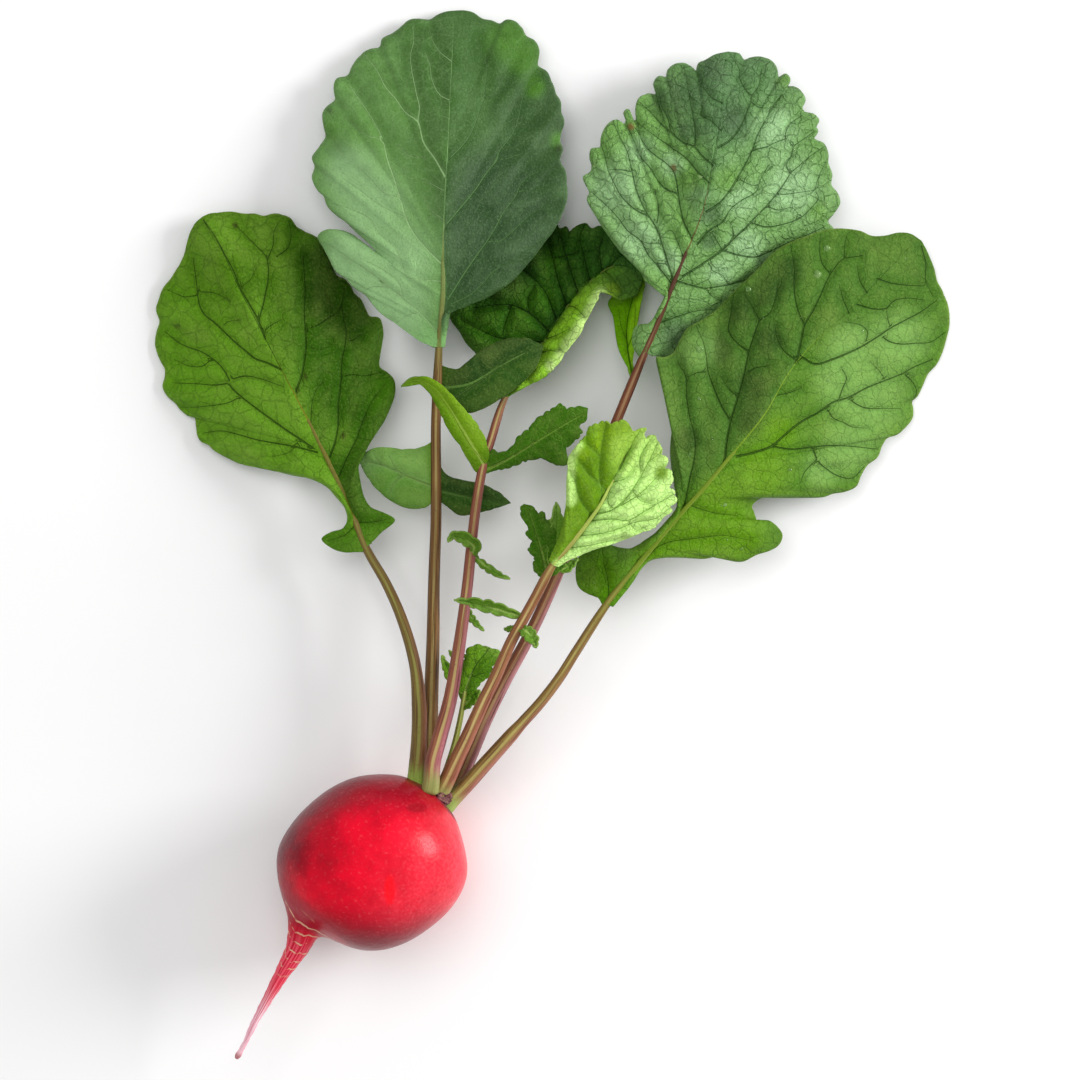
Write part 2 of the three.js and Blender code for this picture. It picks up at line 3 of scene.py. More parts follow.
import bpy
import numpy as np
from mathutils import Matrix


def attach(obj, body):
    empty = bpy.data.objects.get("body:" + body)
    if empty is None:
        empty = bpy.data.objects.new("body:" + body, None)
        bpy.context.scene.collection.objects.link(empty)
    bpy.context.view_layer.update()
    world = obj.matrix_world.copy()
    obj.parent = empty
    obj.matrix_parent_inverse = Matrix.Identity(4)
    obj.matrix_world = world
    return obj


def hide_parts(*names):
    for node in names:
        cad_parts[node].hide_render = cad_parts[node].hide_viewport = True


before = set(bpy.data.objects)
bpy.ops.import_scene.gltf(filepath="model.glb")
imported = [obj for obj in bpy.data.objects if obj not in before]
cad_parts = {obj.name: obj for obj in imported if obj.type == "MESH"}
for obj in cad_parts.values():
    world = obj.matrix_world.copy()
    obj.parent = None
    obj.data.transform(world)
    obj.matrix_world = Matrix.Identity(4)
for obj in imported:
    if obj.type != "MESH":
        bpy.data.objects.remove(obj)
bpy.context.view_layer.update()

# The view. The radish lies on a white table and is seen from straight above, so a place on it
# is given as picture x and picture y, on a picture 1080 pixels wide, and its height in mm.
MM = 0.001
PIXEL = 0.21 * MM
PICTURE_CENTRE = 540
REST_PIXEL = (370, 863)
EYE_HEIGHT = 1300 * MM
FOCUS_HEIGHT = 15 * MM
SENSOR_WIDTH = 36


def place(points):
    """Where picture points lie, in metres. What is nearer the eye looks larger."""
    px, py, height = np.array(points, float).T
    shrink = (EYE_HEIGHT - height * MM) / (EYE_HEIGHT - FOCUS_HEIGHT)
    x = PICTURE_CENTRE - REST_PIXEL[0] + (px - PICTURE_CENTRE) * shrink
    y = REST_PIXEL[1] - PICTURE_CENTRE + (PICTURE_CENTRE - py) * shrink
    return np.stack([x * PIXEL, y * PIXEL, height * MM], axis=-1)


def seen(spots):
    """The picture x and y at which spots on the radish are seen."""
    shrink = (EYE_HEIGHT - spots[..., 2]) / (EYE_HEIGHT - FOCUS_HEIGHT)
    x = (spots[..., 0] / PIXEL - PICTURE_CENTRE + REST_PIXEL[0]) / shrink
    y = (spots[..., 1] / PIXEL - REST_PIXEL[1] + PICTURE_CENTRE) / shrink
    return np.stack([PICTURE_CENTRE + x, PICTURE_CENTRE - y], axis=-1)


view_x, view_y, _ = place([[PICTURE_CENTRE, PICTURE_CENTRE, 0]])[0]
bpy.ops.object.camera_add(location=(view_x, view_y, EYE_HEIGHT), rotation=(0, 0, 0))
camera = bpy.context.object
camera.data.sensor_width = SENSOR_WIDTH
camera.data.lens = SENSOR_WIDTH / 2 * (EYE_HEIGHT - FOCUS_HEIGHT) / (PICTURE_CENTRE * PIXEL)
camera.data.clip_start = 0.05
bpy.context.scene.camera = camera
bpy.context.scene.view_settings.view_transform = "Standard"


# The light: a soft box low on the right, which puts the highlight on the bulb's right side and
# shows up the crinkles, a wide one overhead, and an even white sky.
SKY_STRENGTH = 0.48


def softbox(name, spot, size, watts):
    """A square lamp that shines at the middle of the radish."""
    bpy.ops.object.light_add(type="AREA", location=spot)
    lamp = bpy.context.object
    lamp.name = name
    lamp.data.size = size
    lamp.data.energy = watts
    away = np.array(spot) - np.array([view_x, view_y, 0])
    across = math.atan2(away[1], away[0])
    tilt = math.atan2(math.hypot(away[0], away[1]), away[2])
    lamp.rotation_euler = (0, tilt, across)
    return lamp


softbox("key_light", spot=(0.95, 0.3, 0.46), size=0.42, watts=9)
top_light = softbox("top_light", spot=(-0.2, 0.4, 1.4), size=0.9, watts=7)
top_light.visible_glossy = False
sky = bpy.data.worlds.new("sky")
sky.use_nodes = True
glow = sky.node_tree.nodes["Background"]
glow.inputs["Color"].default_value = (1, 1, 1, 1)
glow.inputs["Strength"].default_value = SKY_STRENGTH
bpy.context.scene.world = sky


# The table: a wide white sheet just below the radish, with hardly any pattern. It is the first
# piece to get a finish, so what builds a finish is given here.
TABLE_SIZE = 6


class Wire:
    """A value or colour on its way through a finish: a socket that can be added to and so on."""

    def __init__(self, finish, socket):
        self.finish = finish
        self.socket = socket

    def maths(self, operation, *values):
        return self.finish.node("ShaderNodeMath", {"operation": operation}, self, *values)

    def __add__(self, other):
        return self.maths("ADD", other)

    def __sub__(self, other):
        return self.maths("SUBTRACT", other)

    def __rsub__(self, other):
        return self.finish.node("ShaderNodeMath", {"operation": "SUBTRACT"}, other, self)

    def __mul__(self, other):
        return self.maths("MULTIPLY", other)

    def __truediv__(self, other):
        return self.maths("DIVIDE", other)

    def __abs__(self):
        return self.maths("ABSOLUTE")

    __radd__ = __add__
    __rmul__ = __mul__

    def fade(self, low, high):
        """Goes smoothly from 0 to 1 as the value goes from low to high."""
        settings = {"interpolation_type": "SMOOTHSTEP"}
        return self.finish.node("ShaderNodeMapRange", settings, self, low, high, 0, 1)


class Finish:
    """A material, built up from nodes that read object coordinates or the piece's own maps."""

    def __init__(self, name, **fixed):
        self.material = bpy.data.materials.new(name)
        self.material.use_nodes = True
        self.tree = self.material.node_tree
        self.shader = self.tree.nodes["Principled BSDF"]
        for socket, value in fixed.items():
            title = socket.replace("_", " ").title().replace("Ior", "IOR")
            self.shader.inputs[title].default_value = value

    def node(self, kind, settings, *values, out=0, **named):
        """Adds a node with its settings first, then fills or links its sockets."""
        node = self.tree.nodes.new(kind)
        for setting, value in settings.items():
            setattr(node, setting, value)
        filled = list(zip(node.inputs, values))
        filled += [(node.inputs[title.replace("_", " ")], value) for title, value in named.items()]
        for socket, value in filled:
            if isinstance(value, Wire):
                self.tree.links.new(value.socket, socket)
            elif value is not None:
                socket.default_value = value
        return Wire(self, node.outputs[out])

    def coordinates(self):
        return self.node("ShaderNodeTexCoord", {}, out=3)

    def axes(self, vector):
        return [self.node("ShaderNodeSeparateXYZ", {}, vector, out=axis) for axis in range(3)]

    def read(self, title):
        """The two values of one of the piece's own maps."""
        return self.axes(self.node("ShaderNodeUVMap", {"uv_map": title}))[:2]

    def noise(self, size, detail, where=None):
        """A soft random cloud between 0 and 1, with lumps of the given size."""
        where = where or self.coordinates()
        return self.node("ShaderNodeTexNoise", {}, Vector=where, Scale=1 / size, Detail=detail,
                         Roughness=0.55)

    def cells(self, size, where):
        """Random cells of the given size: how far a point is from the border of its cell."""
        settings = {"feature": "DISTANCE_TO_EDGE"}
        return self.node("ShaderNodeTexVoronoi", settings, Vector=where, Scale=1 / size)

    def stretched(self, x, y, z):
        """A place put together from three values, for a pattern that is longer one way."""
        return self.node("ShaderNodeCombineXYZ", {}, x, y, z)

    def wobbly(self, size, reach):
        """Object coordinates that waver by up to reach, so that a pattern isn't straight."""
        push = self.node("ShaderNodeTexNoise", {}, Vector=self.coordinates(), Scale=1 / size, out=1)
        push = self.node("ShaderNodeVectorMath", {"operation": "SUBTRACT"}, push, (0.5, 0.5, 0.5))
        push = self.node("ShaderNodeVectorMath", {"operation": "SCALE"}, push, Scale=reach)
        return self.node("ShaderNodeVectorMath", {"operation": "ADD"}, push, self.coordinates())

    def mix(self, share, first, second):
        """Goes from the first colour to the second as share goes from 0 to 1."""
        mixer = self.tree.nodes.new("ShaderNodeMix")
        mixer.data_type = "RGBA"
        for index, value in zip((0, 6, 7), (share, first, second)):
            if isinstance(value, Wire):
                self.tree.links.new(value.socket, mixer.inputs[index])
            else:
                mixer.inputs[index].default_value = value
        return Wire(self, mixer.outputs[2])

    def wear(self, title, wire):
        self.tree.links.new(wire.socket, self.shader.inputs[title])

    def bump(self, height, depth):
        """Raises the surface by a height between 0 and 1 times a depth in metres."""
        bumps = self.node("ShaderNodeBump", {}, Height=height, Distance=depth, Strength=1.0)
        self.wear("Normal", bumps)


def colour(red, green, blue):
    """A colour as seen on screen, 0 to 255, as the linear values that a shader takes."""
    linear = [part / 255 / 12.92 if part < 11 else ((part / 255 + 0.055) / 1.055) ** 2.4
              for part in (red, green, blue)]
    return (*linear, 1)


bpy.ops.mesh.primitive_plane_add(size=TABLE_SIZE, location=(view_x, view_y, 0))
table = bpy.context.object
table.name = "table"
white = Finish("table_white", roughness=0.9)
white_tone = white.mix(white.noise(0.4, 3), colour(251, 251, 251), colour(254, 254, 254))
white.wear("Base Color", white_tone)
table.data.materials.append(white.material)


# The root: crimson bulb and taproot grown as one, turned about an axis from the crown down to
# the tail tip. Its radius is given at distances along that axis, and the bulb is a little wider
# across the picture than down it.
class Line:
    """A smooth line through a few points, which passes close points without swinging out."""

    def __init__(self, points):
        points = np.array(points, float)
        self.ends = len(points) - 1
        first = 2 * points[0] - points[1]
        last = 2 * points[-1] - points[-2]
        self.points = np.vstack([first, points, last])
        self.fine = np.linspace(0, 1, 40 * self.ends + 1)
        steps = np.linalg.norm(np.diff(self.at(self.fine), axis=0), axis=1)
        self.run = np.concatenate([[0], np.cumsum(steps)])

    def at(self, even):
        """Points on the line, where even counts the given points evenly from 0 to 1."""
        even = np.atleast_1d(even)
        span = np.clip((even * self.ends).astype(int), 0, self.ends - 1)
        part = (even * self.ends - span)[:, None]
        before, start, end, after = [self.points[span + k] for k in range(4)]
        gaps = [np.sqrt(np.linalg.norm(b - a, axis=1))[:, None]
                for a, b in ((before, start), (start, end), (end, after))]
        chord = (end - start) / gaps[1]
        before_bend = (start - before) / gaps[0] - (end - before) / (gaps[0] + gaps[1])
        leave = (before_bend + chord) * gaps[1]
        arrive = (chord - (after - start) / (gaps[1] + gaps[2]) + (after - end) / gaps[2]) * gaps[1]
        return (start + leave * part + (3 * (end - start) - 2 * leave - arrive) * part ** 2
                + (2 * (start - end) + leave + arrive) * part ** 3)

    def along(self, share):
        """Points at shares of the line's length."""
        return self.at(np.interp(np.atleast_1d(share) * self.run[-1], self.run, self.fine))

    def frames(self, share):
        """Points, and at each the ways ahead, aside and upwards."""
        share = np.atleast_1d(share)
        ahead = self.along(np.clip(share + 1e-3, 0, 1)) - self.along(np.clip(share - 1e-3, 0, 1))
        ahead /= np.linalg.norm(ahead, axis=1)[:, None]
        aside = np.cross(ahead, (0, 0, 1))
        aside /= np.linalg.norm(aside, axis=1)[:, None]
        return self.along(share), ahead, aside, np.cross(aside, ahead)


def bent_grid(name, spots, maps):
    """A grid whose rows and columns are moved to the given spots, with maps for its finish."""
    rows, columns = spots.shape[0] - 1, spots.shape[1] - 1
    bpy.ops.object.select_all(action="DESELECT")
    bpy.ops.mesh.primitive_grid_add(x_subdivisions=columns, y_subdivisions=rows, size=2)
    piece = bpy.context.object
    piece.name = name
    mesh = piece.data
    flat = np.empty(len(mesh.vertices) * 3)
    mesh.vertices.foreach_get("co", flat)
    flat = flat.reshape(-1, 3)
    column = np.rint((flat[:, 0] + 1) / 2 * columns).astype(int)
    row = np.rint((flat[:, 1] + 1) / 2 * rows).astype(int)
    mesh.vertices.foreach_set("co", spots[row, column].ravel())
    corner = np.empty(len(mesh.loops), np.int32)
    mesh.loops.foreach_get("vertex_index", corner)
    mesh.uv_layers.remove(mesh.uv_layers[0])
    for title, values in maps.items():
        layer = mesh.uv_layers.new(name=title)
        layer.uv.foreach_set("vector", values[row, column][corner].astype(np.float32).ravel())
    bpy.ops.object.mode_set(mode="EDIT")
    bpy.ops.mesh.select_all(action="SELECT")
    bpy.ops.mesh.remove_doubles(threshold=2e-6)
    bpy.ops.object.mode_set(mode="OBJECT")
    bpy.ops.object.shade_smooth()
    return piece


def pair(first, second):
    """Two values at each spot of a grid, as a map that a finish reads."""
    return np.stack(np.broadcast_arrays(first, second), axis=-1)


def rolled_rod(name, line, along, radii):
    """A closed rod: a grid rolled up round a line. radii has a row for each share of its length
    and a column for each angle, counted from the right side over the top."""
    spot, _, aside, above = line.frames(along)
    angle = np.linspace(0, 2 * np.pi, radii.shape[1])
    outwards = (np.cos(angle)[None, :, None] * aside[:, None]
                + np.sin(angle)[None, :, None] * above[:, None])
    spots = spot[:, None] + radii[..., None] * outwards
    length = along[:, None] * line.run[-1] / MM
    turn = angle[None] / (2 * np.pi)
    piece = bent_grid(name, spots, {"rod": pair(length, turn)})
    bpy.ops.object.mode_set(mode="EDIT")
    bpy.ops.mesh.select_all(action="SELECT")
    bpy.ops.mesh.normals_make_consistent(inside=False)
    bpy.ops.object.mode_set(mode="OBJECT")
    return piece


def ramp(value, low, high):
    """Goes smoothly from 0 to 1 as the value goes from low to high."""
    share = np.clip((value - low) / (high - low), 0, 1)
    return share * share * (3 - 2 * share)


ROOT_AXIS = [
    [443, 803, 15.6], [373, 863, 17.15], [308, 923, 18.8], [297, 948, 19.3], [281, 975, 19],
    [266, 1002, 18], [255, 1022, 17], [245, 1043, 15.6], [236, 1059, 14.6],
]
ROOT_PROFILE = [
    [0, 0.01], [0.02, 1.8], [0, 3.3], [0.6, 5.4], [1.6, 7.5], [3.4, 10.3], [6, 13], [10, 15.7],
    [14.5, 17.1], [19.4, 17.4], [24.5, 16.85], [29, 15.35], [32.5, 13.1], [35, 10.45], [36.6, 7.9],
    [37.7, 5.7], [38.8, 4.1], [40.2, 3.2], [42, 2.75], [44.5, 2.25], [48, 1.75], [52, 1.35],
    [58, 0.95], [63, 0.7], [68, 0.5], [69.8, 0.62], [70.4, 0.4], [70.6, 0.001],
]
ROOT_LENGTH = ROOT_PROFILE[-1][0]
BULB_WIDENING = 0.08
# A dab on the skin: how far right and up it lies, how wide and tall it is, and its colour
ROOT_DABS = [
    (0.0046, -0.0046, 0.0012, 0.0032, (255, 2, 22)),
    (0.0101, 0.0122, 0.0022, 0.001, (146, 6, 26)),
]


def skin_finish():
    """Crimson skin: bright in the middle, with painted shade on the far side from the light, under
    the bulb and along its top, painted pink sheen in specks towards the light, and pink-white at
    the tail, which has pale scars round it."""
    skin = Finish("radish_skin", roughness=0.3, specular_ior_level=0.14, coat_weight=0.1,
                  coat_roughness=0.12)
    along, turn = skin.read("rod")
    x, y, z = skin.axes(skin.coordinates())
    clouds = skin.noise(0.009, 4)
    blots = skin.noise(0.0035, 4)
    fine = skin.noise(0.0007, 4)
    streaks = skin.noise(1, 4, skin.stretched(along * 0.07, turn * 30, 0.0))
    tone = skin.mix(clouds.fade(0.32, 0.68), colour(214, 0, 34), colour(246, 0, 42))
    # Painted sheen: pink specks on the side towards the light.
    toward_light = (x * 0.76 - y * 0.32 + z * 0.25) / 0.02 + (clouds - 0.5) * 0.6
    lit_speckles = toward_light.fade(0.35, 1.1) * (fine.fade(0.35, 0.65) * 0.5 + 0.5)
    tone = skin.mix(lit_speckles * 0.54, tone, colour(250, 84, 98))
    # Painted shade: darker on the far side from the light.
    tone = skin.mix(toward_light.fade(0.3, -0.6) * 0.95, tone, colour(84, 0, 24))
    # Painted shade under the bulb.
    below = (y / 0.018).fade(-0.3, -0.95) * along.fade(37, 35)
    tone = skin.mix(below * 0.82, tone, colour(98, 4, 28))
    # Painted shade along the top edge of the bulb.
    tone = skin.mix((y / 0.018).fade(0.4, 1.0) * 0.82, tone, colour(108, 4, 28))
    tone = skin.mix(blots.fade(0.5, 0.72) * 0.22, tone, colour(150, 8, 30))
    tone = skin.mix(fine.fade(0.56, 0.74) * 0.16, tone, colour(255, 120, 120))
    tone = skin.mix(streaks.fade(0.55, 0.75) * 0.16, tone, colour(130, 6, 26))
    for dab_x, dab_y, wide, tall, shade in ROOT_DABS:
        across = (x - dab_x) / wide
        down = (y - dab_y) / tall
        dab = (across * across + down * down).fade(1.5, 0.3)
        tone = skin.mix(dab * 0.7, tone, colour(*shade))
    tone = skin.mix(along.fade(34, 37) * along.fade(41, 38.5) * 0.8, tone, colour(150, 8, 36))
    tail_tone = skin.mix(streaks.fade(0.4, 0.6), colour(200, 18, 50), colour(244, 92, 112))
    tone = skin.mix(along.fade(38.5, 44) * 0.9, tone, tail_tone)
    pale = (along + streaks * 12 - 6).fade(52, 62)
    pale_tone = skin.mix(streaks.fade(0.35, 0.6), colour(238, 120, 150), colour(252, 226, 232))
    tone = skin.mix(pale, tone, pale_tone)
    wavy = skin.noise(1, 2, skin.stretched(turn * 5, 3.0, 0.0))
    rings = (along + wavy * 3 + abs(turn - 0.27) * 9) / 1.9
    scar = (abs(rings.maths("FRACT") - 0.5) * 1.9).fade(0.2, 0.1)
    patchy = skin.noise(1, 2, skin.stretched(turn * 6, along * 0.5, 8.0))
    scar = scar * along.fade(36.5, 37.5) * along.fade(52, 47) * patchy.fade(0.44, 0.52)
    tone = skin.mix(scar * 0.85, tone, colour(236, 186, 150))
    tone = skin.mix(along.fade(69, 70.2) * 0.75, tone, colour(176, 100, 96))
    collar = (along + fine * 0.8).fade(1.3, 0.4)
    tone = skin.mix(collar, tone, colour(104, 52, 58))
    skin.wear("Base Color", tone)
    skin.wear("Roughness", collar * 0.35 + clouds * 0.14 + blots * 0.1 + 0.2)
    skin.bump(fine * 0.4 + streaks * 0.3 + blots * 1.6 + scar * 0.6, 0.14 * MM)
    return skin.material


def dress(piece, finish, node):
    """Gives a piece its finish and ties it to the root, in the place of a CAD node."""
    piece.data.materials.append(finish)
    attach(piece, "root")
    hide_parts(node)


root_line = Line(place(ROOT_AXIS))
profile = Line(ROOT_PROFILE).at(np.linspace(0, 1, 201))
along = np.clip(profile[:, :1], 0, ROOT_LENGTH)
radius = profile[:, 1:]
angle = np.linspace(0, 2 * np.pi, 161)[None]
shoulder = np.exp(-((along - 2.2) / 2.6) ** 2)
furrows = 0.14 * np.sin(5 * angle + 1) + 0.08 * np.sin(11 * angle)
tail = ramp(along, 38, 44)
knobs = (0.06 * np.sin(3 * angle + along * 0.9) + 0.07 * np.sin(along * 2.3)) * np.sin(along * 1.1)
lumps = 0.14 * np.sin(2 * angle + 0.6) * np.sin(along * np.pi / 40) * (1 - tail)
radius = radius + np.minimum(shoulder * furrows + tail * knobs + lumps, radius * 0.2)
root = rolled_rod("root_skin", root_line, along[:, 0] / ROOT_LENGTH, radius * MM)
spots = np.empty(len(root.data.vertices) * 3)
root.data.vertices.foreach_get("co", spots)
spots = spots.reshape(-1, 3)
run = np.empty(len(spots))
for loop, reading in zip(root.data.loops, root.data.uv_layers["rod"].uv):
    run[loop.vertex_index] = reading.vector[0]
spots[:, 0] *= 1 + BULB_WIDENING * ramp(run, 0, 8) * (1 - ramp(run, 30, 38))
spots[:, 2] = np.maximum(spots[:, 2], 0)
root.data.vertices.foreach_set("co", spots.ravel())
dress(root, skin_finish(), "root")


# The crown: the rough purple-brown bud where the stalks grow out of the root, with the scar
# of an old leaf round it. It sits half in the root and is hidden but for a corner.
CROWN_PIXEL = (441, 797, 17.5)
CROWN_SIZE = (2.3 * MM, 2.1 * MM, 2.4 * MM)

bpy.ops.object.select_all(action="DESELECT")
bpy.ops.mesh.primitive_ico_sphere_add(subdivisions=5, radius=1)
crown = bpy.context.object
crown.name = "crown"
middle = place([CROWN_PIXEL])[0]
for vertex in crown.data.vertices:
    x, y, z = vertex.co
    rough = 1 + 0.1 * math.sin(7 * x + 3 * z) * math.sin(6 * y + 1)
    rough += 0.05 * math.sin(17 * y + 9 * x)
    leaf_scar = 1 - 0.12 * math.exp(-((z - 0.3) / 0.12) ** 2)
    vertex.co = (middle[0] + CROWN_SIZE[0] * x * rough * leaf_scar,
                 middle[1] + CROWN_SIZE[1] * y * rough * leaf_scar,
                 middle[2] + CROWN_SIZE[2] * z * rough)
bpy.ops.object.shade_smooth()
bud = Finish("crown_bark", roughness=0.62, specular_ior_level=0.25)
bud_clouds = bud.noise(0.0011, 4)
bud_fine = bud.noise(0.0004, 4)
bud_tone = bud.mix(bud_clouds.fade(0.35, 0.65), colour(92, 44, 52), colour(136, 90, 88))
bud_tone = bud.mix(bud_fine.fade(0.55, 0.7) * 0.5, bud_tone, colour(190, 160, 130))
bud.wear("Base Color", bud_tone)
bud.bump(bud_clouds + bud_fine * 0.6, 0.4 * MM)
dress(crown, bud.material, "root")


# The left leaf: the lowest of all, mid green with dark veins, in the shade of the top leaf on
# its right. Its left margin sags to the table. What every leaf is made with is given here: a
# stalk, pale green at its foot and browner above, that runs on as the midrib of a thin blade.
STALK_AROUND = 24
STALK_RIBS = 9
FOOT_LENGTH = 7
BLADE_THICKNESS = 0.45 * MM
RUFFLES = 7
VEIN_RANGE = 60
LEFT_STALK = [
    [415, 791, 16.8], [416, 778, 16.6], [419, 740, 16.8], [419, 705, 16.8], [415, 665, 16.4],
    [403, 622, 15.2], [387, 585, 13], [373, 558, 11.4],
]
LEFT_RIB = [
    [366, 548, 13], [350, 508, 12.5], [330, 465, 12], [308, 420, 12], [287, 380, 12],
    [265, 338, 11], [240, 290, 9.5], [222, 250, 7.5], [207, 225, 5.5],
]
# A margin point is picture x and y, and at some also height and the share of the midrib at which
# its side vein starts.
LEFT_MARGIN_LEFT = [
    [362, 552, 13, 0], [345, 552, 11.5, 0.01], [332, 548], [322, 539, 10, 0.03], [330, 533],
    [343, 529, 11.5, 0.06], [348, 518, 12, 0.085], [345, 507], [337, 497, 12, 0.14], [328, 487],
    [320, 482, 11, 0.18], [307, 477], [295, 475, 8.5, 0.2], [278, 471], [258, 467, 5.5, 0.23],
    [240, 463], [225, 456, 3, 0.26], [214, 450], [208, 444], [201, 441, 1.8, 0.28], [197, 434],
    [196, 425], [195, 417], [188, 415, 1.2, 0.3], [180, 409], [176, 403], [167, 395, 1, 0.33],
    [163, 386], [165, 378], [165, 369, 0.9, 0.36], [161, 361], [158, 354], [155, 342, 0.9, 0.4],
    [157, 331], [160, 321], [156, 309, 1.1, 0.46], [159, 300], [163, 289], [172, 277, 1.6, 0.55],
    [180, 264], [184, 256, 2.5, 0.7], [187, 245], [190, 234, 3.5, 0.88], [196, 223],
    [203, 217, 4, 1],
]
LEFT_MARGIN_RIGHT = [
    [371, 543, 13, 0], [382, 531, 12.5, 0.02], [395, 520, 12, 0.04], [382, 512],
    [371, 508, 12.5, 0.085], [363, 496], [360, 482, 12.5, 0.11], [358, 466, 12.5, 0.14], [363, 452],
    [370, 441, 12, 0.16], [376, 430], [384, 420, 11, 0.18], [391, 405], [395, 392, 9.5, 0.2],
    [394, 380], [387, 372], [380, 367, 8, 0.215], [380, 355], [382, 345], [383, 335, 6, 0.235],
    [382, 325], [379, 318], [370, 316], [365, 308, 5, 0.255], [360, 298], [354, 293], [350, 285],
    [345, 279, 4.3, 0.29], [337, 276], [331, 264, 4, 0.33], [326, 252], [320, 240, 4, 0.38],
    [314, 236], [308, 233], [297, 227, 4, 0.47], [290, 218], [280, 214, 4, 0.56], [272, 214],
    [263, 216], [255, 214], [245, 214, 4, 0.76], [232, 212], [218, 213], [210, 214],
    [203, 217, 4, 1],
]
# A vein is its thickness and the picture points it runs through.
LEFT_VEINS = [
    [1.2, (316, 452), (296, 447), (280, 444), (258, 440), (240, 435), (222, 431), (205, 433)],
    [1.5, (313, 448), (300, 439), (285, 429), (260, 411), (241, 396), (231, 386), (229, 379),
     (222, 367), (212, 358), (200, 351), (188, 347), (178, 342), (167, 333)],
    [1.4, (280, 369), (268, 363), (256, 359), (246, 351), (234, 341), (214, 322), (205, 315),
     (200, 306), (198, 292), (196, 275), (194, 260)],
    [1.4, (265, 338), (257, 318), (248, 302), (240, 288), (233, 270), (225, 255), (217, 240),
     (205, 222)],
    [1.4, (296, 390), (301, 377), (304, 362), (306, 345), (305, 330), (304, 310), (305, 290),
     (303, 258)],
    [1.4, (330, 456), (335, 442), (338, 425), (338, 405), (340, 390), (341, 375), (342, 360),
     (345, 345), (346, 330), (343, 318), (342, 300)],
    [1.1, (259, 318), (263, 305), (265, 295), (268, 280), (268, 265), (266, 257), (255, 245),
     (236, 226)],
    [0.9, (305, 330), (318, 325), (328, 318), (338, 312), (342, 302), (344, 290)],
    [0.8, (346, 342), (353, 340), (361, 334)],
    [0.7, (341, 377), (350, 375), (365, 376), (380, 373)],
    [0.7, (268, 258), (273, 246), (274, 232), (279, 222)],
    [0.7, (278, 256), (288, 248), (291, 235), (289, 222)],
    [0.9, (263, 332), (270, 326), (281, 320)],
    [0.8, (340, 474), (348, 456), (357, 438), (364, 418), (373, 400), (384, 386)],
    [0.6, (311, 422), (312, 402), (317, 388), (323, 382)],
    [0.8, (231, 380), (245, 376), (262, 379), (282, 386)],
    [0.8, (230, 383), (215, 385), (200, 384), (174, 383)],
    [0.6, (240, 397), (228, 403), (205, 406), (184, 407)],
    [0.6, (212, 359), (203, 366), (190, 366), (176, 360)],
    [0.6, (198, 295), (185, 297), (170, 291)],
    [0.6, (200, 292), (215, 293), (229, 300)],
    [0.5, (222, 329), (228, 322), (240, 320)],
    [0.5, (300, 439), (290, 452), (275, 456)],
    [0.6, (355, 525), (345, 535), (330, 540)],
    [0.6, (356, 522), (372, 522), (388, 519)],
    [0.5, (306, 345), (318, 350), (330, 346)],
    [0.5, (240, 288), (250, 280), (256, 268)],
]
# Painted shade, then painted light: soft patches, each a picture x, picture y and radius.
LEFT_SHADE = [(325, 262, 26), (344, 300, 26), (318, 300, 24), (350, 322, 22), (310, 255, 12)]
LEFT_PAINTED_LIGHT = [
    (245, 420, 55), (262, 380, 40), (290, 420, 34), (215, 235, 26), (250, 320, 30), (338, 440, 20),
]
LEFT_FRESH = [(385, 395, 22), (308, 240, 12)]
LEFT_SPOTS = [(305, 377, 4), (343, 436, 4), (178, 326, 3), (235, 226, 4), (297, 391, 4)]


def stalk_finish(name, flank, ridge, groove, foot, rib, neck, blush=None):
    """Fibrous stalk skin: flanks, ridges and a pale groove on top, a paler foot, where given a pink
    right side that is partly its own colour and partly painted highlight, and the colour of the
    midrib beyond the neck, which is a distance from the foot in mm."""
    bark = Finish(name, roughness=0.42, specular_ior_level=0.3)
    along, turn = bark.read("rod")
    streaks = bark.noise(1, 4, bark.stretched(along * 0.1, turn * 26, 0.0))
    broad = bark.noise(1, 3, bark.stretched(along * 0.05, turn * 7, 4.0))
    fine = bark.noise(0.0006, 3)
    from_top = abs(turn - 0.25)
    tone = bark.mix(streaks.fade(0.36, 0.62), flank, ridge)
    tone = bark.mix(from_top.fade(0.16, 0.05) * broad.fade(0.35, 0.6) * 0.7, tone, ridge)
    tone = bark.mix(from_top.fade(0.06, 0.02) * broad.fade(0.3, 0.55) * 0.85, tone, groove)
    # Pink on the right side: partly the stalk's own colour, partly painted highlight from the light
    # on the right.
    if blush:
        right = (0.25 - turn).fade(-0.02, 0.16) * streaks.fade(0.3, 0.5)
        tone = bark.mix(right * along.fade(neck, 12) * 0.85, tone, blush)
    tone = bark.mix((along + streaks * 8 - 4).fade(FOOT_LENGTH, 2), tone, foot)
    tone = bark.mix((along + broad * 14 - 7).fade(neck - 4, neck + 22), tone, rib)
    tone = bark.mix(fine.fade(0.58, 0.75) * 0.4, tone, flank)
    bark.wear("Base Color", tone)
    bark.wear("Roughness", streaks * 0.2 + 0.34)
    bark.bump(streaks * 0.7 + fine * 0.3, 0.2 * MM)
    return bark.material


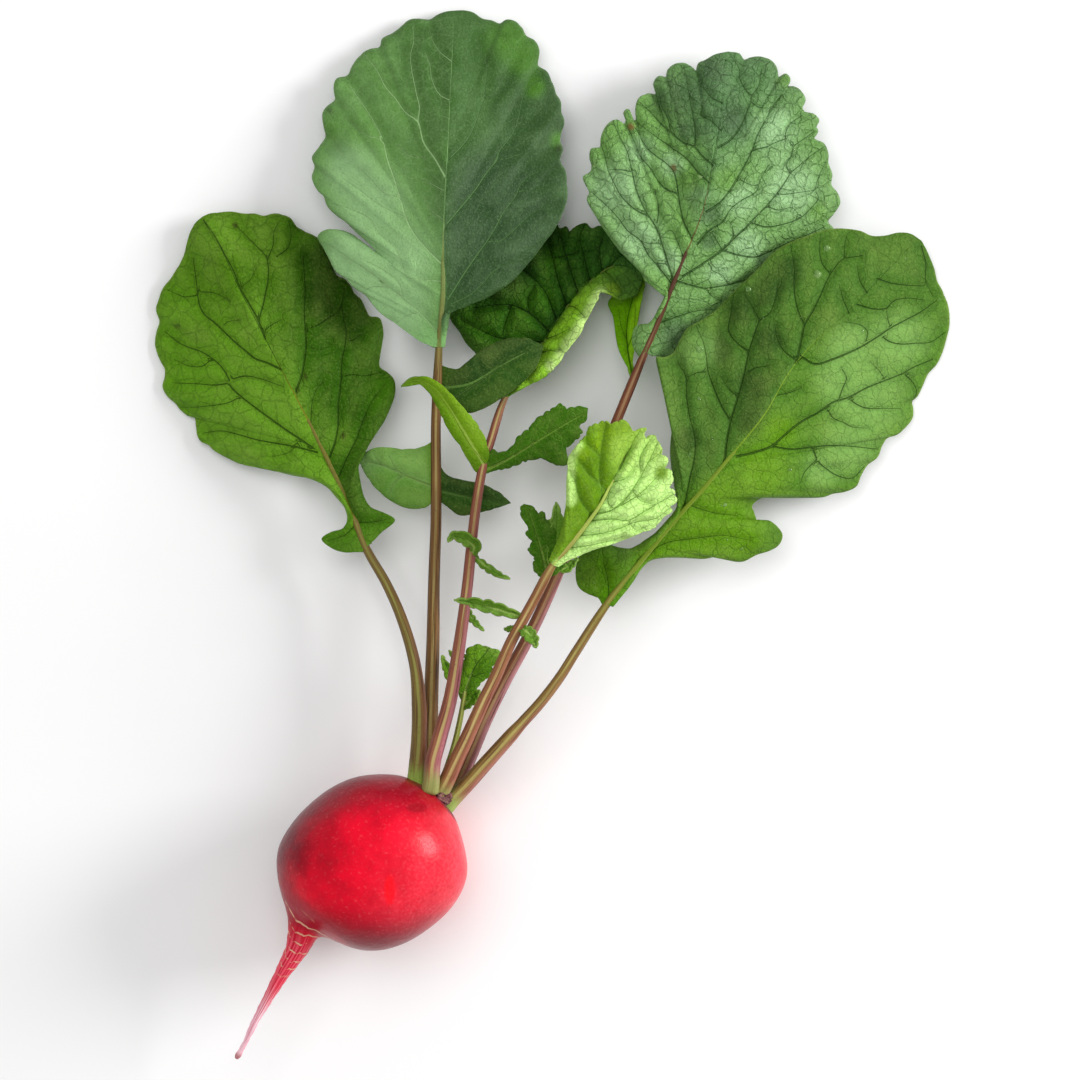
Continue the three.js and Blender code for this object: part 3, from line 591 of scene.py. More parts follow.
def stalk(name, points, midrib, widths, reach, node, slot, furrow=0.2, **colours):
    """A ribbed rod, grooved on top, along the stalk and on through the blade as its midrib. widths
    lists the radius in mm at the foot, at the neck, in the middle of the blade and at the
    midrib's end; reach is the share of the midrib at which the rod has sunk under the blade."""
    foot, neck, half, end = widths
    share = np.linspace(0, 1, len(midrib))
    swell = np.interp(share, [0, 0.15, 0.5, 1], [neck, neck * 0.62, half, end])
    deep = 0.75 * swell - 0.25 + 1.3 * ramp(share, reach - 0.3, reach + 0.05)
    sunk = [[x, y, height - down] for (x, y, height), down in zip(midrib, deep)]
    line = Line(place([*points[:-1], *sunk]))
    bare = Line(place(points)).run[-1]
    split = bare / line.run[-1]
    along = np.linspace(0, 1, 300)
    places = [0, 0.03, 0.14, 0.5 * split, split, split + 0.15 * (1 - split),
              split + 0.5 * (1 - split), 1]
    radii = [foot * 1.25, foot * 1.15, foot, (foot + neck) / 2, neck, neck * 0.62, half, end]
    radius = np.interp(along, places, radii)
    radius *= np.sqrt(np.clip(np.minimum(along, 1 - along) * 160, 0, 1))
    angle = np.linspace(0, 2 * np.pi, STALK_AROUND + 1)
    shape = (1 - furrow * np.exp(-((angle - np.pi / 2) / 0.4) ** 2)
             + 0.03 * np.cos(STALK_RIBS * (angle - np.pi / 2)))
    rod = rolled_rod(name, line, along, radius[:, None] * shape[None] * MM)
    dress(rod, stalk_finish(f"{name}_skin", neck=bare / MM, **colours), node)


def filled(side):
    """Fills in height and share at the margin points between those that give them."""
    known = [index for index, point in enumerate(side) if len(point) == 4]
    spots = np.array([point[:2] for point in side], float)
    run = np.concatenate([[0], np.cumsum(np.linalg.norm(np.diff(spots, axis=0), axis=1))])
    height = np.interp(run, run[known], [side[index][2] for index in known])
    share = np.interp(run, run[known], [side[index][3] for index in known])
    return np.column_stack([spots, height]), share


def margin(side, share):
    """The points on one margin that belong to shares of the midrib."""
    points, shares = filled(side)
    return Line(place(points)).at(np.interp(share, shares, np.linspace(0, 1, len(points))))


def row_shares(left, right, rows):
    """Shares of the midrib for rows that are evenly spread along both margins."""
    fine = np.linspace(0, 1, 2001)
    steps = sum(np.linalg.norm(np.diff(margin(side, fine), axis=0), axis=1)
                for side in (left, right))
    run = np.concatenate([[0], np.cumsum(steps)])
    return np.interp(np.linspace(0, run[-1], rows + 1), run, fine)


def notches(row, count, depth, seed):
    """How far a margin is cut back, in mm, by notches of random width and depth."""
    chance = np.random.default_rng(seed)
    knots = np.concatenate([[0], np.cumsum(chance.uniform(0.5, 1.5, count))])
    phase = np.interp(row, knots / knots[-1], np.arange(count + 1))
    deep = np.interp(phase, np.arange(count + 1), chance.uniform(0.3, 1.5, count + 1))
    return depth * deep * (np.abs(np.sin(np.pi * phase)) ** 0.7 - 1)


def from_veins(spots, veins):
    """Distances from the nearest vein: in its half widths, with a sign for its side, and plain,
    in picture pixels."""
    points = seen(spots).reshape(-1, 2)
    near = np.full(len(points), 1e3)
    signed = near.copy()
    for thick, *route in veins:
        line = Line(route)
        share = np.linspace(0, 1, int(line.run[-1] / 2) + 3)
        fine = line.along(share)
        ahead = np.gradient(fine, axis=0)
        ahead /= np.linalg.norm(ahead, axis=1)[:, None]
        low = fine.min(axis=0) - VEIN_RANGE / 2
        high = fine.max(axis=0) + VEIN_RANGE / 2
        inside = np.flatnonzero(((points > low) & (points < high)).all(axis=1))
        gap = points[inside][:, None] - fine[None]
        away = np.linalg.norm(gap, axis=2)
        pick = away.argmin(axis=1)
        rows = np.arange(len(inside))
        off = ahead[pick, 0] * gap[rows, pick, 1] - ahead[pick, 1] * gap[rows, pick, 0]
        at_end = (pick == 0) | (pick == len(fine) - 1)
        dist = np.where(at_end, away[rows, pick], np.abs(off))
        closer = dist < near[inside]
        half = 0.74 * thick * (1 - 0.72 * share[pick])
        near[inside[closer]] = dist[closer]
        signed[inside[closer]] = (off / half)[closer]
    shape = spots.shape[:2]
    signed = np.clip(signed, -VEIN_RANGE, VEIN_RANGE).reshape(shape)
    return signed, np.minimum(near, VEIN_RANGE).reshape(shape)


def crinkles(spots, size, seed):
    """A smooth random field over the blade, about -1 to 1, made of crossing waves."""
    chance = np.random.default_rng(seed)
    field = np.zeros(spots.shape[:2])
    for _ in range(16):
        heading = chance.uniform(0, 2 * np.pi)
        length = size * MM * chance.uniform(0.7, 1.7)
        wave = spots[..., 0] * math.cos(heading) + spots[..., 1] * math.sin(heading)
        field += np.sin(wave * 2 * np.pi / length + chance.uniform(0, 2 * np.pi))
    return field / 5


def tint(spots, patches):
    """How strongly a spot lies in soft round patches, each a picture x, picture y and radius."""
    points = seen(spots)
    weight = np.zeros(spots.shape[:2])
    for x, y, radius in patches:
        away = ((points[..., 0] - x) ** 2 + (points[..., 1] - y) ** 2) / radius ** 2
        weight = 1 - (1 - weight) * (1 - np.exp(-away * 1.2))
    return weight


def thin_sheet(name, spots, maps):
    """A grid with a leaf's thickness."""
    piece = bent_grid(name, spots, maps)
    solid = piece.modifiers.new("thickness", "SOLIDIFY")
    solid.thickness = BLADE_THICKNESS
    solid.offset = 0
    bpy.ops.object.modifier_apply(modifier=solid.name)
    return piece


def blade(name, rib, left, right, veins, notch, arch, ruffle, relief, crinkle=0.15, rows=320,
          columns=30, tints=((), (), (), ())):
    """A thin blade between a midrib and two margins, with notched edges and sunken veins, and the
    maps that its finish reads. notch is how many teeth there are and their depth in mm."""
    rib_line = Line(place(rib))
    share = row_shares(left, right, rows)
    row = np.linspace(0, 1, rows + 1)
    ends = np.sin(np.pi * row)[:, None]
    out = np.linspace(0, 1, columns + 1)[None]
    halves = []
    for across, side in ((-1, left), (1, right)):
        start = rib_line.along(share)
        reach = margin(side, share) - start
        far = np.maximum(np.linalg.norm(reach, axis=1), 1e-5)[:, None]
        cut = notches(row, *notch, len(name) + across)[:, None] * MM * np.minimum(1, 3 * ends)
        stretch = out + np.maximum(cut / far, -0.2) * out ** 6
        spots = start[:, None] + reach[:, None] * stretch[..., None]
        wave = np.sin(2 * np.pi * RUFFLES * row[:, None] + 3 * across * out + across)
        spots[..., 2] += (arch * np.sin(np.pi * out) + ruffle * out ** 2 * wave) * ends * MM
        half = [spots, across * out * far / MM, np.broadcast_to(across * out, spots.shape[:2])]
        halves.append([values[:, ::-1] for values in half] if across < 0 else half)
    spots, from_rib, out = [np.concatenate(both, axis=1) for both in zip(*halves)]
    signed, near = from_veins(spots, veins)
    inner = np.clip(ends * 4, 0, 1) * (1 - np.abs(out) ** 8)
    puff = 1 - np.exp(-(near / 9) ** 2)
    lift = relief * (0.8 * puff - np.exp(-(near / 3.5) ** 2) - 1.3 * np.exp(-(from_rib / 1.2) ** 2))
    lift = lift + crinkle * crinkles(spots, 5, len(name)) * (0.3 + 0.7 * puff)
    spots[..., 2] += lift * inner * MM
    shades = [tint(spots, patches) for patches in tints]
    return thin_sheet(name, spots, {
        "veins": pair(signed, near), "rib": pair(from_rib, out), "height": pair(row[:, None], puff),
        "tint_a": pair(*shades[:2]), "tint_b": pair(*shades[2:]),
        "midrib": pair(share[:, None], puff)})


def leaf_finish(name, left, right, foot, tip, vein, midrib, net, net_size, rib_width, tints=(),
                vein_strength=0.7, shine=0.5, foot_reach=0.2, rib_reach=0.4, mottle=0.3,
                vein_depth=0.9, halo=0.16, gloss=0.07, vein_right=None,
                shine_tone=colour(208, 230, 122), depth=0.42):
    """Leaf skin: two halves, on some leaves painted as one lit and one shaded half, the colours of
    foot and tip, veins, the fine net between them, a midrib, painted highlights on fine specks,
    puff tops and the rim, and up to four tints, each a colour and a strength."""
    leaf = Finish(name, roughness=shine, specular_ior_level=gloss)
    signed, near = leaf.read("veins")
    from_rib, out = leaf.read("rib")
    height, puff = leaf.read("height")
    climb = leaf.read("midrib")[0]
    clouds = leaf.noise(0.009, 4)
    blots = leaf.noise(0.0028, 4)
    fine = leaf.noise(0.00045, 3)
    # The two halves: on some leaves their colours are painted light and painted shade.
    side = (from_rib + (clouds - 0.5) * 3).fade(-0.9, 0.9)
    tone = leaf.mix(side, left, right)
    vein = leaf.mix(side, vein, vein_right) if vein_right else vein
    tone = leaf.mix((height + (clouds - 0.5) * 0.2).fade(foot_reach, foot_reach - 0.16), tone, foot)
    tone = leaf.mix((height + (clouds - 0.5) * 0.3).fade(0.7, 1.0), tone, tip)
    weights = [*leaf.read("tint_a"), *leaf.read("tint_b")]
    for weight, (shade, strength) in zip(weights, tints):
        tone = leaf.mix((weight + (blots - 0.5) * 0.25).fade(0.05, 0.95) * strength, tone, shade)
    dark = leaf.mix(0.45, tone, colour(10, 26, 4))
    light = leaf.mix(0.35, tone, shine_tone)
    tone = leaf.mix(blots.fade(0.45, 0.72) * mottle, tone, dark)
    tone = leaf.mix(clouds.fade(0.5, 0.75) * mottle * 0.6, tone, light)
    # Painted highlights: fine glinting specks, and the tops of the puffs between the veins.
    tone = leaf.mix(fine.fade(0.5, 0.72) * 0.22, tone, light)
    tone = leaf.mix(puff.fade(0.3, 0.95) * mottle * 0.4, tone, light)
    tone = leaf.mix(fine.fade(0.48, 0.3) * 0.4, tone, dark)
    wavy = leaf.wobbly(0.0022, 0.0016)
    big_net = 1 - leaf.cells(net_size * MM, wavy).fade(0.01, 0.075)
    small_net = 1 - leaf.cells(net_size * 0.42 * MM, wavy).fade(0.02, 0.13)
    tone = leaf.mix(big_net * net, tone, vein)
    tone = leaf.mix(small_net * net * 0.35, tone, vein)
    side_vein = abs(signed).fade(1.35, 0.45) * near.fade(2.8, 1.8)
    tone = leaf.mix(near.fade(5.5, 1.0) * halo, tone, vein)
    tone = leaf.mix(side_vein * vein_strength, tone, vein)
    rib_half = climb.fade(0.75, 0.0) * rib_width + 0.18
    rib_line = (abs(from_rib) / rib_half).fade(1.2, 0.6) * climb.fade(1.0, 0.9)
    rib_tone = leaf.mix(climb.fade(rib_reach, rib_reach + 0.2), midrib, vein)
    tone = leaf.mix(rib_line * 0.85, tone, rib_tone)
    tone = leaf.mix(abs(out).fade(0.6, 1.0) * blots.fade(0.35, 0.6) * 0.3, tone, dark)
    # Painted highlight: a thin pale rim along the margin.
    tone = leaf.mix(abs(out).fade(0.982, 1.0) * 0.35, tone, light)
    leaf.wear("Base Color", tone)
    leaf.wear("Roughness", clouds * 0.2 + fine * 0.12 + (shine - 0.14))
    sunken = side_vein * vein_depth + big_net * net * 0.9 + small_net * net * 0.5
    leaf.bump(1 - sunken + fine * 0.42 + blots * 0.35, depth * MM)
    return leaf.material


left_blade = blade("left_leaf", LEFT_RIB, LEFT_MARGIN_LEFT, LEFT_MARGIN_RIGHT, LEFT_VEINS,
                   tints=(LEFT_SHADE, LEFT_PAINTED_LIGHT, LEFT_SPOTS, LEFT_FRESH),
                   notch=(26, 0.15), arch=1.6, ruffle=0.35, relief=0.22)
# The right half is painted darker as shade under the top leaf.
dress(left_blade, leaf_finish(
    "left_leaf_skin", left=colour(98, 152, 26), right=colour(50, 94, 6), foot=colour(80, 130, 24),
    tip=colour(80, 124, 18), vein=colour(34, 62, 8), midrib=colour(126, 124, 36), net=0.22,
    net_size=3.4, rib_reach=0.42, rib_width=0.3,
    tints=((colour(32, 64, 2), 0.75), (colour(112, 160, 44), 0.5), (colour(46, 40, 14), 0.8),
           (colour(66, 116, 6), 0.6))),
    "left_leaf_blade")
stalk("left_stalk", LEFT_STALK, LEFT_RIB, (1.55, 0.95, 0.3, 0.1), 0.55, "left_leaf_stalk",
      "stalk_olive",
      flank=colour(88, 58, 34), ridge=colour(124, 106, 50), groove=colour(150, 150, 76),
      foot=colour(150, 178, 76), rib=colour(116, 110, 38), blush=colour(150, 92, 70))


# The top leaf: grey-green with painted sheen on its left half and painted darker as shade on its
# right, with pale veins, and one big lobe low on the left. Three free lobes stand on its stalk
# below it.
TOP_STALK = [
    [425, 791, 13.4], [429, 776, 12.6], [430, 740, 12], [431, 700, 11.8], [433, 640, 11.5],
    [434, 580, 11.5], [436, 520, 12], [436, 470, 12.8], [436, 420, 14], [437, 380, 14.8],
]
TOP_RIB = [
    [439, 347, 17], [441, 320, 18.5], [443, 290, 19.5], [443, 255, 20], [444, 220, 20],
    [446, 180, 19], [448, 140, 16.5], [450, 100, 13], [452, 60, 8.5], [454, 26, 4],
]
TOP_MARGIN_LEFT = [
    [433, 347, 17, 0], [420, 341], [410, 334, 15.5, 0.015], [394, 322], [380, 312, 14, 0.03],
    [372, 303], [366, 295], [352, 285, 13, 0.05], [345, 277], [335, 270], [329, 258, 12, 0.075],
    [323, 247], [318, 236, 11.5, 0.1], [326, 230], [338, 230, 12, 0.115], [350, 234],
    [361, 242, 13, 0.13], [380, 257, 14.5, 0.15], [370, 244], [358, 233, 12.5, 0.165], [347, 222],
    [336, 214, 11, 0.18], [327, 205], [324, 196, 9.5, 0.195], [316, 188], [312, 178, 8, 0.212],
    [315, 166], [312, 157, 7.5, 0.222], [320, 146], [326, 136], [324, 127, 6.5, 0.24], [323, 113],
    [328, 106], [335, 100, 5.5, 0.26], [334, 88], [336, 79], [347, 76, 4.5, 0.29], [352, 67],
    [358, 58], [368, 50, 3.5, 0.35], [380, 47], [383, 38], [392, 34, 2.8, 0.45], [401, 27],
    [410, 20], [420, 19, 2.2, 0.6], [430, 20], [438, 15, 1.8, 0.8], [447, 12], [457, 11, 1.8, 1],
]
TOP_MARGIN_RIGHT = [
    [445, 347, 17, 0], [447, 328, 18, 0.05], [453, 306, 18.3, 0.085], [468, 303],
    [485, 298, 17, 0.095], [500, 289], [512, 281, 16, 0.105], [522, 270], [534, 256, 15, 0.12],
    [545, 241], [553, 231, 14, 0.13], [562, 215], [567, 200, 12.5, 0.145], [567, 185],
    [565, 170, 11.5, 0.165], [560, 160], [563, 150, 10, 0.185], [560, 140], [562, 130],
    [564, 121, 8.5, 0.22], [561, 112], [561, 103], [556, 93, 7, 0.265], [552, 82], [547, 72],
    [538, 65, 5.5, 0.34], [539, 50], [535, 41], [526, 36, 4, 0.42], [522, 28], [516, 22],
    [507, 20, 3, 0.52], [500, 24], [492, 21, 2.2, 0.64], [482, 19], [473, 13, 1.8, 0.82], [465, 11],
    [457, 11, 1.8, 1],
]
TOP_VEINS = [
    [1.6, (441, 263), (428, 250), (416, 236), (407, 220), (400, 197), (395, 180), (387, 158),
     (383, 140), (376, 125), (368, 112), (358, 98), (350, 86)],
    [1.5, (445, 176), (436, 160), (424, 143), (418, 122), (405, 112), (395, 98), (386, 88),
     (378, 72), (364, 54)],
    [1.0, (418, 122), (420, 108), (417, 95), (415, 85), (412, 70), (411, 55), (414, 42), (413, 28)],
    [1.0, (441, 281), (425, 280), (407, 277), (402, 262), (392, 245), (378, 232), (370, 219),
     (345, 207), (333, 204)],
    [0.7, (449, 100), (440, 95), (432, 80), (430, 65), (426, 55)],
    [0.6, (452, 62), (440, 52), (433, 42), (430, 32)],
    [0.6, (443, 190), (430, 183), (418, 179)],
    [0.6, (424, 157), (411, 157), (398, 145)],
    [0.5, (442, 218), (432, 211), (424, 200)],
    [1.4, (447, 223), (455, 214), (475, 190), (485, 175), (495, 162), (500, 150), (512, 135),
     (518, 120), (521, 105), (525, 92), (535, 83), (545, 79)],
    [0.9, (495, 161), (510, 158), (523, 154), (529, 160), (540, 158), (558, 155)],
    [1.2, (450, 158), (460, 148), (470, 135), (478, 115), (483, 98), (486, 80), (487, 65),
     (480, 55), (478, 40)],
    [0.7, (483, 99), (495, 95), (505, 85), (512, 76)],
    [1.4, (449, 298), (460, 280), (475, 258), (488, 240), (495, 228), (505, 210), (515, 197),
     (522, 182), (527, 178), (540, 171), (562, 165)],
    [0.9, (488, 241), (500, 241), (515, 229), (530, 215), (545, 207), (564, 208)],
    [0.7, (522, 191), (535, 190), (550, 187)],
    [0.5, (495, 228), (489, 216), (478, 211), (462, 207)],
    [0.9, (453, 303), (468, 296), (482, 284), (497, 268), (515, 262), (528, 262)],
    [0.6, (399, 197), (385, 194), (372, 180), (360, 168)],
    [0.6, (407, 217), (393, 212), (378, 204), (360, 190), (345, 180)],
    [0.6, (383, 140), (368, 136), (356, 128), (346, 118)],
    [0.8, (436, 330), (420, 312), (405, 300), (390, 287), (372, 273), (350, 258), (332, 246)],
    [0.5, (405, 300), (398, 282), (380, 268), (368, 262)],
    [0.5, (390, 287), (372, 287), (362, 292)],
    [0.5, (420, 312), (408, 315), (398, 322)],
    [0.5, (518, 120), (530, 125), (545, 120)],
    [0.5, (475, 258), (490, 262), (500, 275)],
]
# Painted shade, then painted light: soft patches, each a picture x, picture y and radius.
TOP_SHADE = [(500, 200, 48), (478, 240, 40), (515, 235, 36), (470, 280, 22), (482, 180, 34)]
TOP_PAINTED_LIGHT = [
    (372, 205, 42), (405, 260, 36), (350, 170, 26), (400, 310, 34), (350, 255, 30), (375, 282, 34),
]
TOP_LEAFY = [(507, 38, 24), (525, 58, 20), (535, 88, 12), (330, 128, 12), (558, 140, 10)]
TOP_SPOTS = [(329, 110, 4), (560, 148, 6), (372, 307, 2), (382, 281, 2)]
LOBE_VEINS_LEFT = [
    [1.0, (434, 486), (410, 477), (385, 466), (366, 461)],
    [0.5, (412, 478), (398, 470), (390, 457)],
    [0.5, (405, 475), (395, 482), (390, 494)],
    [0.5, (390, 468), (380, 462), (374, 453)],
]
LOBE_VEINS_RIGHT = [[0.9, (438, 490), (462, 496), (485, 500), (505, 504)]]
LOBE_VEINS_UPPER = [
    [1.0, (455, 398), (475, 385), (485, 378), (500, 366), (510, 359), (525, 352), (542, 346)],
    [0.5, (500, 366), (510, 372), (520, 378)],
    [0.5, (485, 378), (478, 368), (475, 358)],
]
TOP_LOBES = [
    dict(
        rib=[[436, 488, 12.4], [410, 477, 11.5], [385, 466, 10.5], [367, 461, 9.5]],
        left=[[434, 501, 12.3, 0], [424, 508, 11, 0.1], [404, 507, 10, 0.3], [383, 495, 9.5, 0.55],
              [368, 478, 9.3, 0.8], [360, 463, 9.3, 1]],
        right=[[434, 440, 13.3, 0], [424, 446, 13, 0.08], [405, 449, 12, 0.25],
               [382, 447, 11, 0.55], [367, 451, 10, 0.8], [360, 463, 9.3, 1]],
        veins=LOBE_VEINS_LEFT,
    ),
    dict(
        rib=[[436, 490, 12.4], [462, 496, 12], [485, 500, 11.3], [500, 502, 10.8]],
        left=[[438, 462, 12.9, 0], [446, 474, 12.6, 0.1], [462, 480, 12.2, 0.3],
              [482, 484, 11.8, 0.6], [500, 493, 11, 0.85], [511, 503, 10.3, 1]],
        right=[[437, 499, 12.2, 0], [447, 506, 11.8, 0.1], [460, 515, 11.2, 0.3],
               [480, 512, 11, 0.6], [497, 508, 10.7, 0.85], [511, 503, 10.3, 1]],
        veins=LOBE_VEINS_RIGHT,
    ),
    dict(
        rib=[[437, 388, 14.7], [468, 384, 15.8], [500, 366, 16], [530, 350, 15.3]],
        left=[[439, 364, 14.9, 0], [450, 368], [458, 369, 15.9, 0.1], [467, 362, 16.2, 0.2],
              [480, 351, 16.2, 0.4], [503, 340, 16, 0.65], [526, 338, 15.6, 0.9],
              [544, 346, 15, 1]],
        right=[[437, 398, 14.5, 0], [452, 402, 15.2, 0.1], [468, 413, 15.5, 0.25], [480, 410],
               [494, 403, 15.6, 0.45], [516, 388, 15.5, 0.75], [535, 369, 15.3, 0.92],
               [544, 346, 15, 1]],
        veins=LOBE_VEINS_UPPER,
    ),
]


def joined(name, pieces):
    """Joins pieces of one colour into one."""
    bpy.ops.object.select_all(action="DESELECT")
    for piece in pieces:
        piece.select_set(True)
    bpy.context.view_layer.objects.active = pieces[0]
    bpy.ops.object.join()
    pieces[0].name = name
    return pieces[0]


def lobe(name, rib, left, right, veins, notch=(5, 0.15), crinkle=0.08):
    """A small blade."""
    return blade(name, rib, left, right, veins, notch=notch, relief=0.12, crinkle=crinkle,
                 arch=0.3, ruffle=0, rows=100, columns=14)


top_blade = blade("top_leaf", TOP_RIB, TOP_MARGIN_LEFT, TOP_MARGIN_RIGHT, TOP_VEINS,
                  tints=(TOP_SHADE, TOP_PAINTED_LIGHT, TOP_LEAFY, TOP_SPOTS), notch=(30, 0.15), arch=1.4,
                  ruffle=0.4, relief=0.16)
dress(top_blade, leaf_finish(
    "top_leaf_skin", left=colour(98, 144, 70), right=colour(44, 76, 32), foot=colour(126, 178, 104),
    tip=colour(60, 98, 38), vein=colour(160, 200, 134), midrib=colour(120, 128, 62), net=0.08,
    net_size=3, vein_strength=0.75, vein_depth=0.3, halo=0.05, gloss=0.2,
    vein_right=colour(84, 120, 68), shine_tone=colour(180, 220, 160), rib_reach=0.22,
    rib_width=0.3,
    tints=((colour(40, 66, 36), 0.6), (colour(160, 204, 142), 0.7), (colour(72, 124, 24), 0.8),
           (colour(34, 44, 10), 0.85))),
    "top_leaf_blade")
pale_lobe_skin = leaf_finish(
    "pale_lobe_skin", left=colour(96, 146, 56), right=colour(122, 170, 80),
    foot=colour(92, 140, 40), tip=colour(112, 154, 84), vein=colour(144, 180, 108),
    midrib=colour(130, 168, 84), net=0.1, net_size=2.4, rib_width=0.2)
dark_lobe_skin = leaf_finish(
    "dark_lobe_skin", left=colour(36, 66, 22), right=colour(42, 78, 20), foot=colour(40, 76, 16),
    tip=colour(42, 74, 26), vein=colour(88, 122, 56), midrib=colour(92, 128, 58), net=0.12,
    net_size=2.4, rib_width=0.2)
lobes = [lobe(f"top_lobe_{side}", **sizes)
         for side, sizes in zip(("left", "right", "upper"), TOP_LOBES)]
dress(lobes[0], pale_lobe_skin, "top_leaf_stalk")
dress(joined("top_dark_lobes", lobes[1:]), dark_lobe_skin, "top_leaf_stalk")
stalk("top_stalk", TOP_STALK, TOP_RIB, (1.5, 0.98, 0.3, 0.1), 0.5, "top_leaf_stalk", "stalk_brown",
      flank=colour(64, 38, 22), ridge=colour(128, 92, 48), groove=colour(170, 150, 92),
      foot=colour(150, 158, 84), rib=colour(116, 132, 66))


# The folded leaf: puffed up and painted dark as shade under the leaves over it, its right margin
# turned over and bright green. Its red stalk carries a curled leaflet, a toothed one and three
# small ones.
FOLDED_STALK = [
    [429, 795, 20.4], [431, 785, 20.8], [433, 762, 21], [439, 740, 21], [450, 700, 21],
    [457, 660, 20.8], [463, 620, 20], [468, 580, 18.6], [472, 540, 17], [477, 500, 15.4],
    [484, 462, 14.8], [491, 440, 14], [497, 420, 12.6],
]
FOLDED_RIB = [
    [505, 398, 12.4], [524, 370, 11], [545, 340, 10], [568, 306, 9], [592, 280, 8], [614, 266, 7.5],
    [634, 268, 7],
]
FOLDED_MARGIN_LEFT = [
    [499, 396, 12.2, 0], [485, 372, 9.5, 0.03], [477, 354, 8, 0.06], [466, 342],
    [459, 330, 6.5, 0.1], [452, 321], [449, 312, 5.5, 0.14], [455, 288, 4.5, 0.18],
    [475, 262, 4, 0.24], [502, 242, 4, 0.32], [530, 228, 4, 0.42], [548, 229], [554, 222],
    [560, 228, 4, 0.52], [566, 226], [569, 232], [576, 226, 4, 0.6], [586, 223], [591, 228],
    [600, 226, 4, 0.72], [607, 233], [612, 241, 4.5, 0.82], [625, 252, 5.5, 0.9], [643, 273, 7, 1],
]
FOLDED_MARGIN_RIGHT = [
    [511, 394, 12.4, 0], [530, 384, 12.8, 0.1], [544, 377], [558, 364, 13.5, 0.25], [568, 350],
    [580, 334, 14, 0.4], [590, 314], [598, 300, 14, 0.55], [602, 290], [608, 292, 12.5, 0.68],
    [622, 300, 10, 0.8], [637, 294, 8, 0.9], [643, 273, 7, 1],
]
FOLDED_VEINS = [
    [1.4, (541, 342), (520, 340), (500, 338), (480, 330), (462, 320)],
    [1.4, (548, 330), (530, 314), (512, 305), (495, 305), (474, 308)],
    [1.3, (556, 318), (545, 292), (530, 275), (518, 266)],
    [1.4, (566, 304), (558, 280), (553, 258), (546, 238)],
    [1.3, (578, 292), (568, 262), (563, 245), (558, 230)],
    [1.3, (590, 280), (583, 252), (580, 238), (584, 226)],
    [1.2, (602, 272), (600, 248), (605, 232)],
    [1.0, (608, 268), (622, 256), (634, 262)],
    [1.0, (604, 270), (612, 278), (622, 292)],
    [0.9, (545, 340), (556, 336), (568, 330)],
    [0.9, (530, 360), (545, 352), (560, 350)],
    [0.9, (566, 306), (576, 308), (584, 316)],
    [0.8, (512, 305), (506, 322), (502, 338)],
    [0.8, (530, 314), (528, 300), (534, 288)],
    [0.8, (553, 258), (566, 256), (582, 250)],
    [0.8, (583, 252), (594, 250), (602, 244)],
]
# Painted light: soft patches, each a picture x, picture y and radius.
FOLDED_PAINTED_LIGHT = [
    (515, 322, 26), (485, 325, 22), (540, 300, 20), (552, 262, 14), (468, 318, 16), (508, 268, 14),
]
FOLDED_CURL = [(612, 290, 9)]
# Painted shade: soft patches, each a picture x, picture y and radius.
FOLDED_SHADE = [(520, 262, 22), (505, 282, 18), (470, 298, 14), (625, 285, 16), (555, 318, 10)]
FOLDED_STRIP = [
    (602, 296, 9), (597, 305, 9), (592, 314, 9), (587, 323, 9), (582, 331, 9), (577, 339, 9),
    (570, 347, 9), (562, 356, 8), (552, 366, 7),
]
CURLED_VEINS = [[1.0, (483, 462), (466, 440), (450, 412), (436, 394), (420, 382), (404, 384)]]
TOOTHED_VEINS = [
    [1.0, (492, 466), (512, 456), (530, 445), (555, 428), (586, 412)],
    [0.6, (512, 456), (518, 444), (526, 434)],
    [0.6, (530, 445), (536, 430), (544, 420)],
    [0.6, (545, 435), (552, 422), (560, 411)],
    [0.6, (530, 445), (540, 452), (548, 456)],
    [0.6, (555, 428), (562, 436), (568, 444)],
]
LEAFLET_ROWS = 70
LEAFLET_COLUMNS = 9
LEAFLET_TEETH = 5
FOLDED_LEAFLETS = [
    dict(
        rib=[[484, 466, 15.2], [474, 448, 17.5], [460, 424, 19.5], [447, 403, 20.4],
             [434, 387, 20.6], [418, 380, 19.8], [404, 384, 18.8]],
        left=[[482, 470, 15, 0], [477, 472, 15, 0.05], [470, 463], [462, 449, 17, 0.25],
              [449, 430, 18.6, 0.42], [437, 406, 19.6, 0.6], [430, 394], [421, 385, 19.6, 0.8],
              [411, 386, 19, 0.9], [401, 387, 18.6, 1]],
        right=[[487, 463, 15.4, 0], [489, 455, 16, 0.06], [487, 443, 17, 0.16],
               [481, 430, 18.4, 0.28], [472, 417, 19.8, 0.42], [460, 404, 20.8, 0.56],
               [444, 387, 21.2, 0.72], [427, 377, 20.6, 0.86], [411, 378, 19.6, 0.94],
               [401, 387, 18.6, 1]],
        veins=CURLED_VEINS,
    ),
    dict(
        rib=[[486, 470, 15], [503, 462, 15.9], [528, 447, 16.4], [556, 430, 16.6],
             [586, 412, 16.4]],
        left=[[484, 466, 15, 0], [488, 453, 15.4, 0.05], [493, 449], [501, 452, 16, 0.15],
              [513, 445, 16.3, 0.28], [517, 437], [524, 431, 16.6, 0.42], [532, 424], [536, 418],
              [540, 416, 16.8, 0.58], [545, 412], [550, 409], [556, 406, 16.8, 0.72], [560, 403],
              [566, 407], [572, 407, 16.6, 0.84], [580, 406], [588, 408, 16.3, 1]],
        right=[[486, 474, 15, 0], [494, 471, 15, 0.08], [505, 469], [517, 465, 15.4, 0.28],
               [527, 461], [538, 459, 15.6, 0.45], [546, 460], [553, 464, 15.4, 0.56], [562, 466],
               [568, 463, 15.4, 0.66], [566, 452], [570, 446, 15.8, 0.74], [579, 438],
               [583, 433, 16, 0.84], [579, 428], [586, 421, 16.2, 0.93], [588, 408, 16.3, 1]],
        veins=TOOTHED_VEINS,
    ),
]
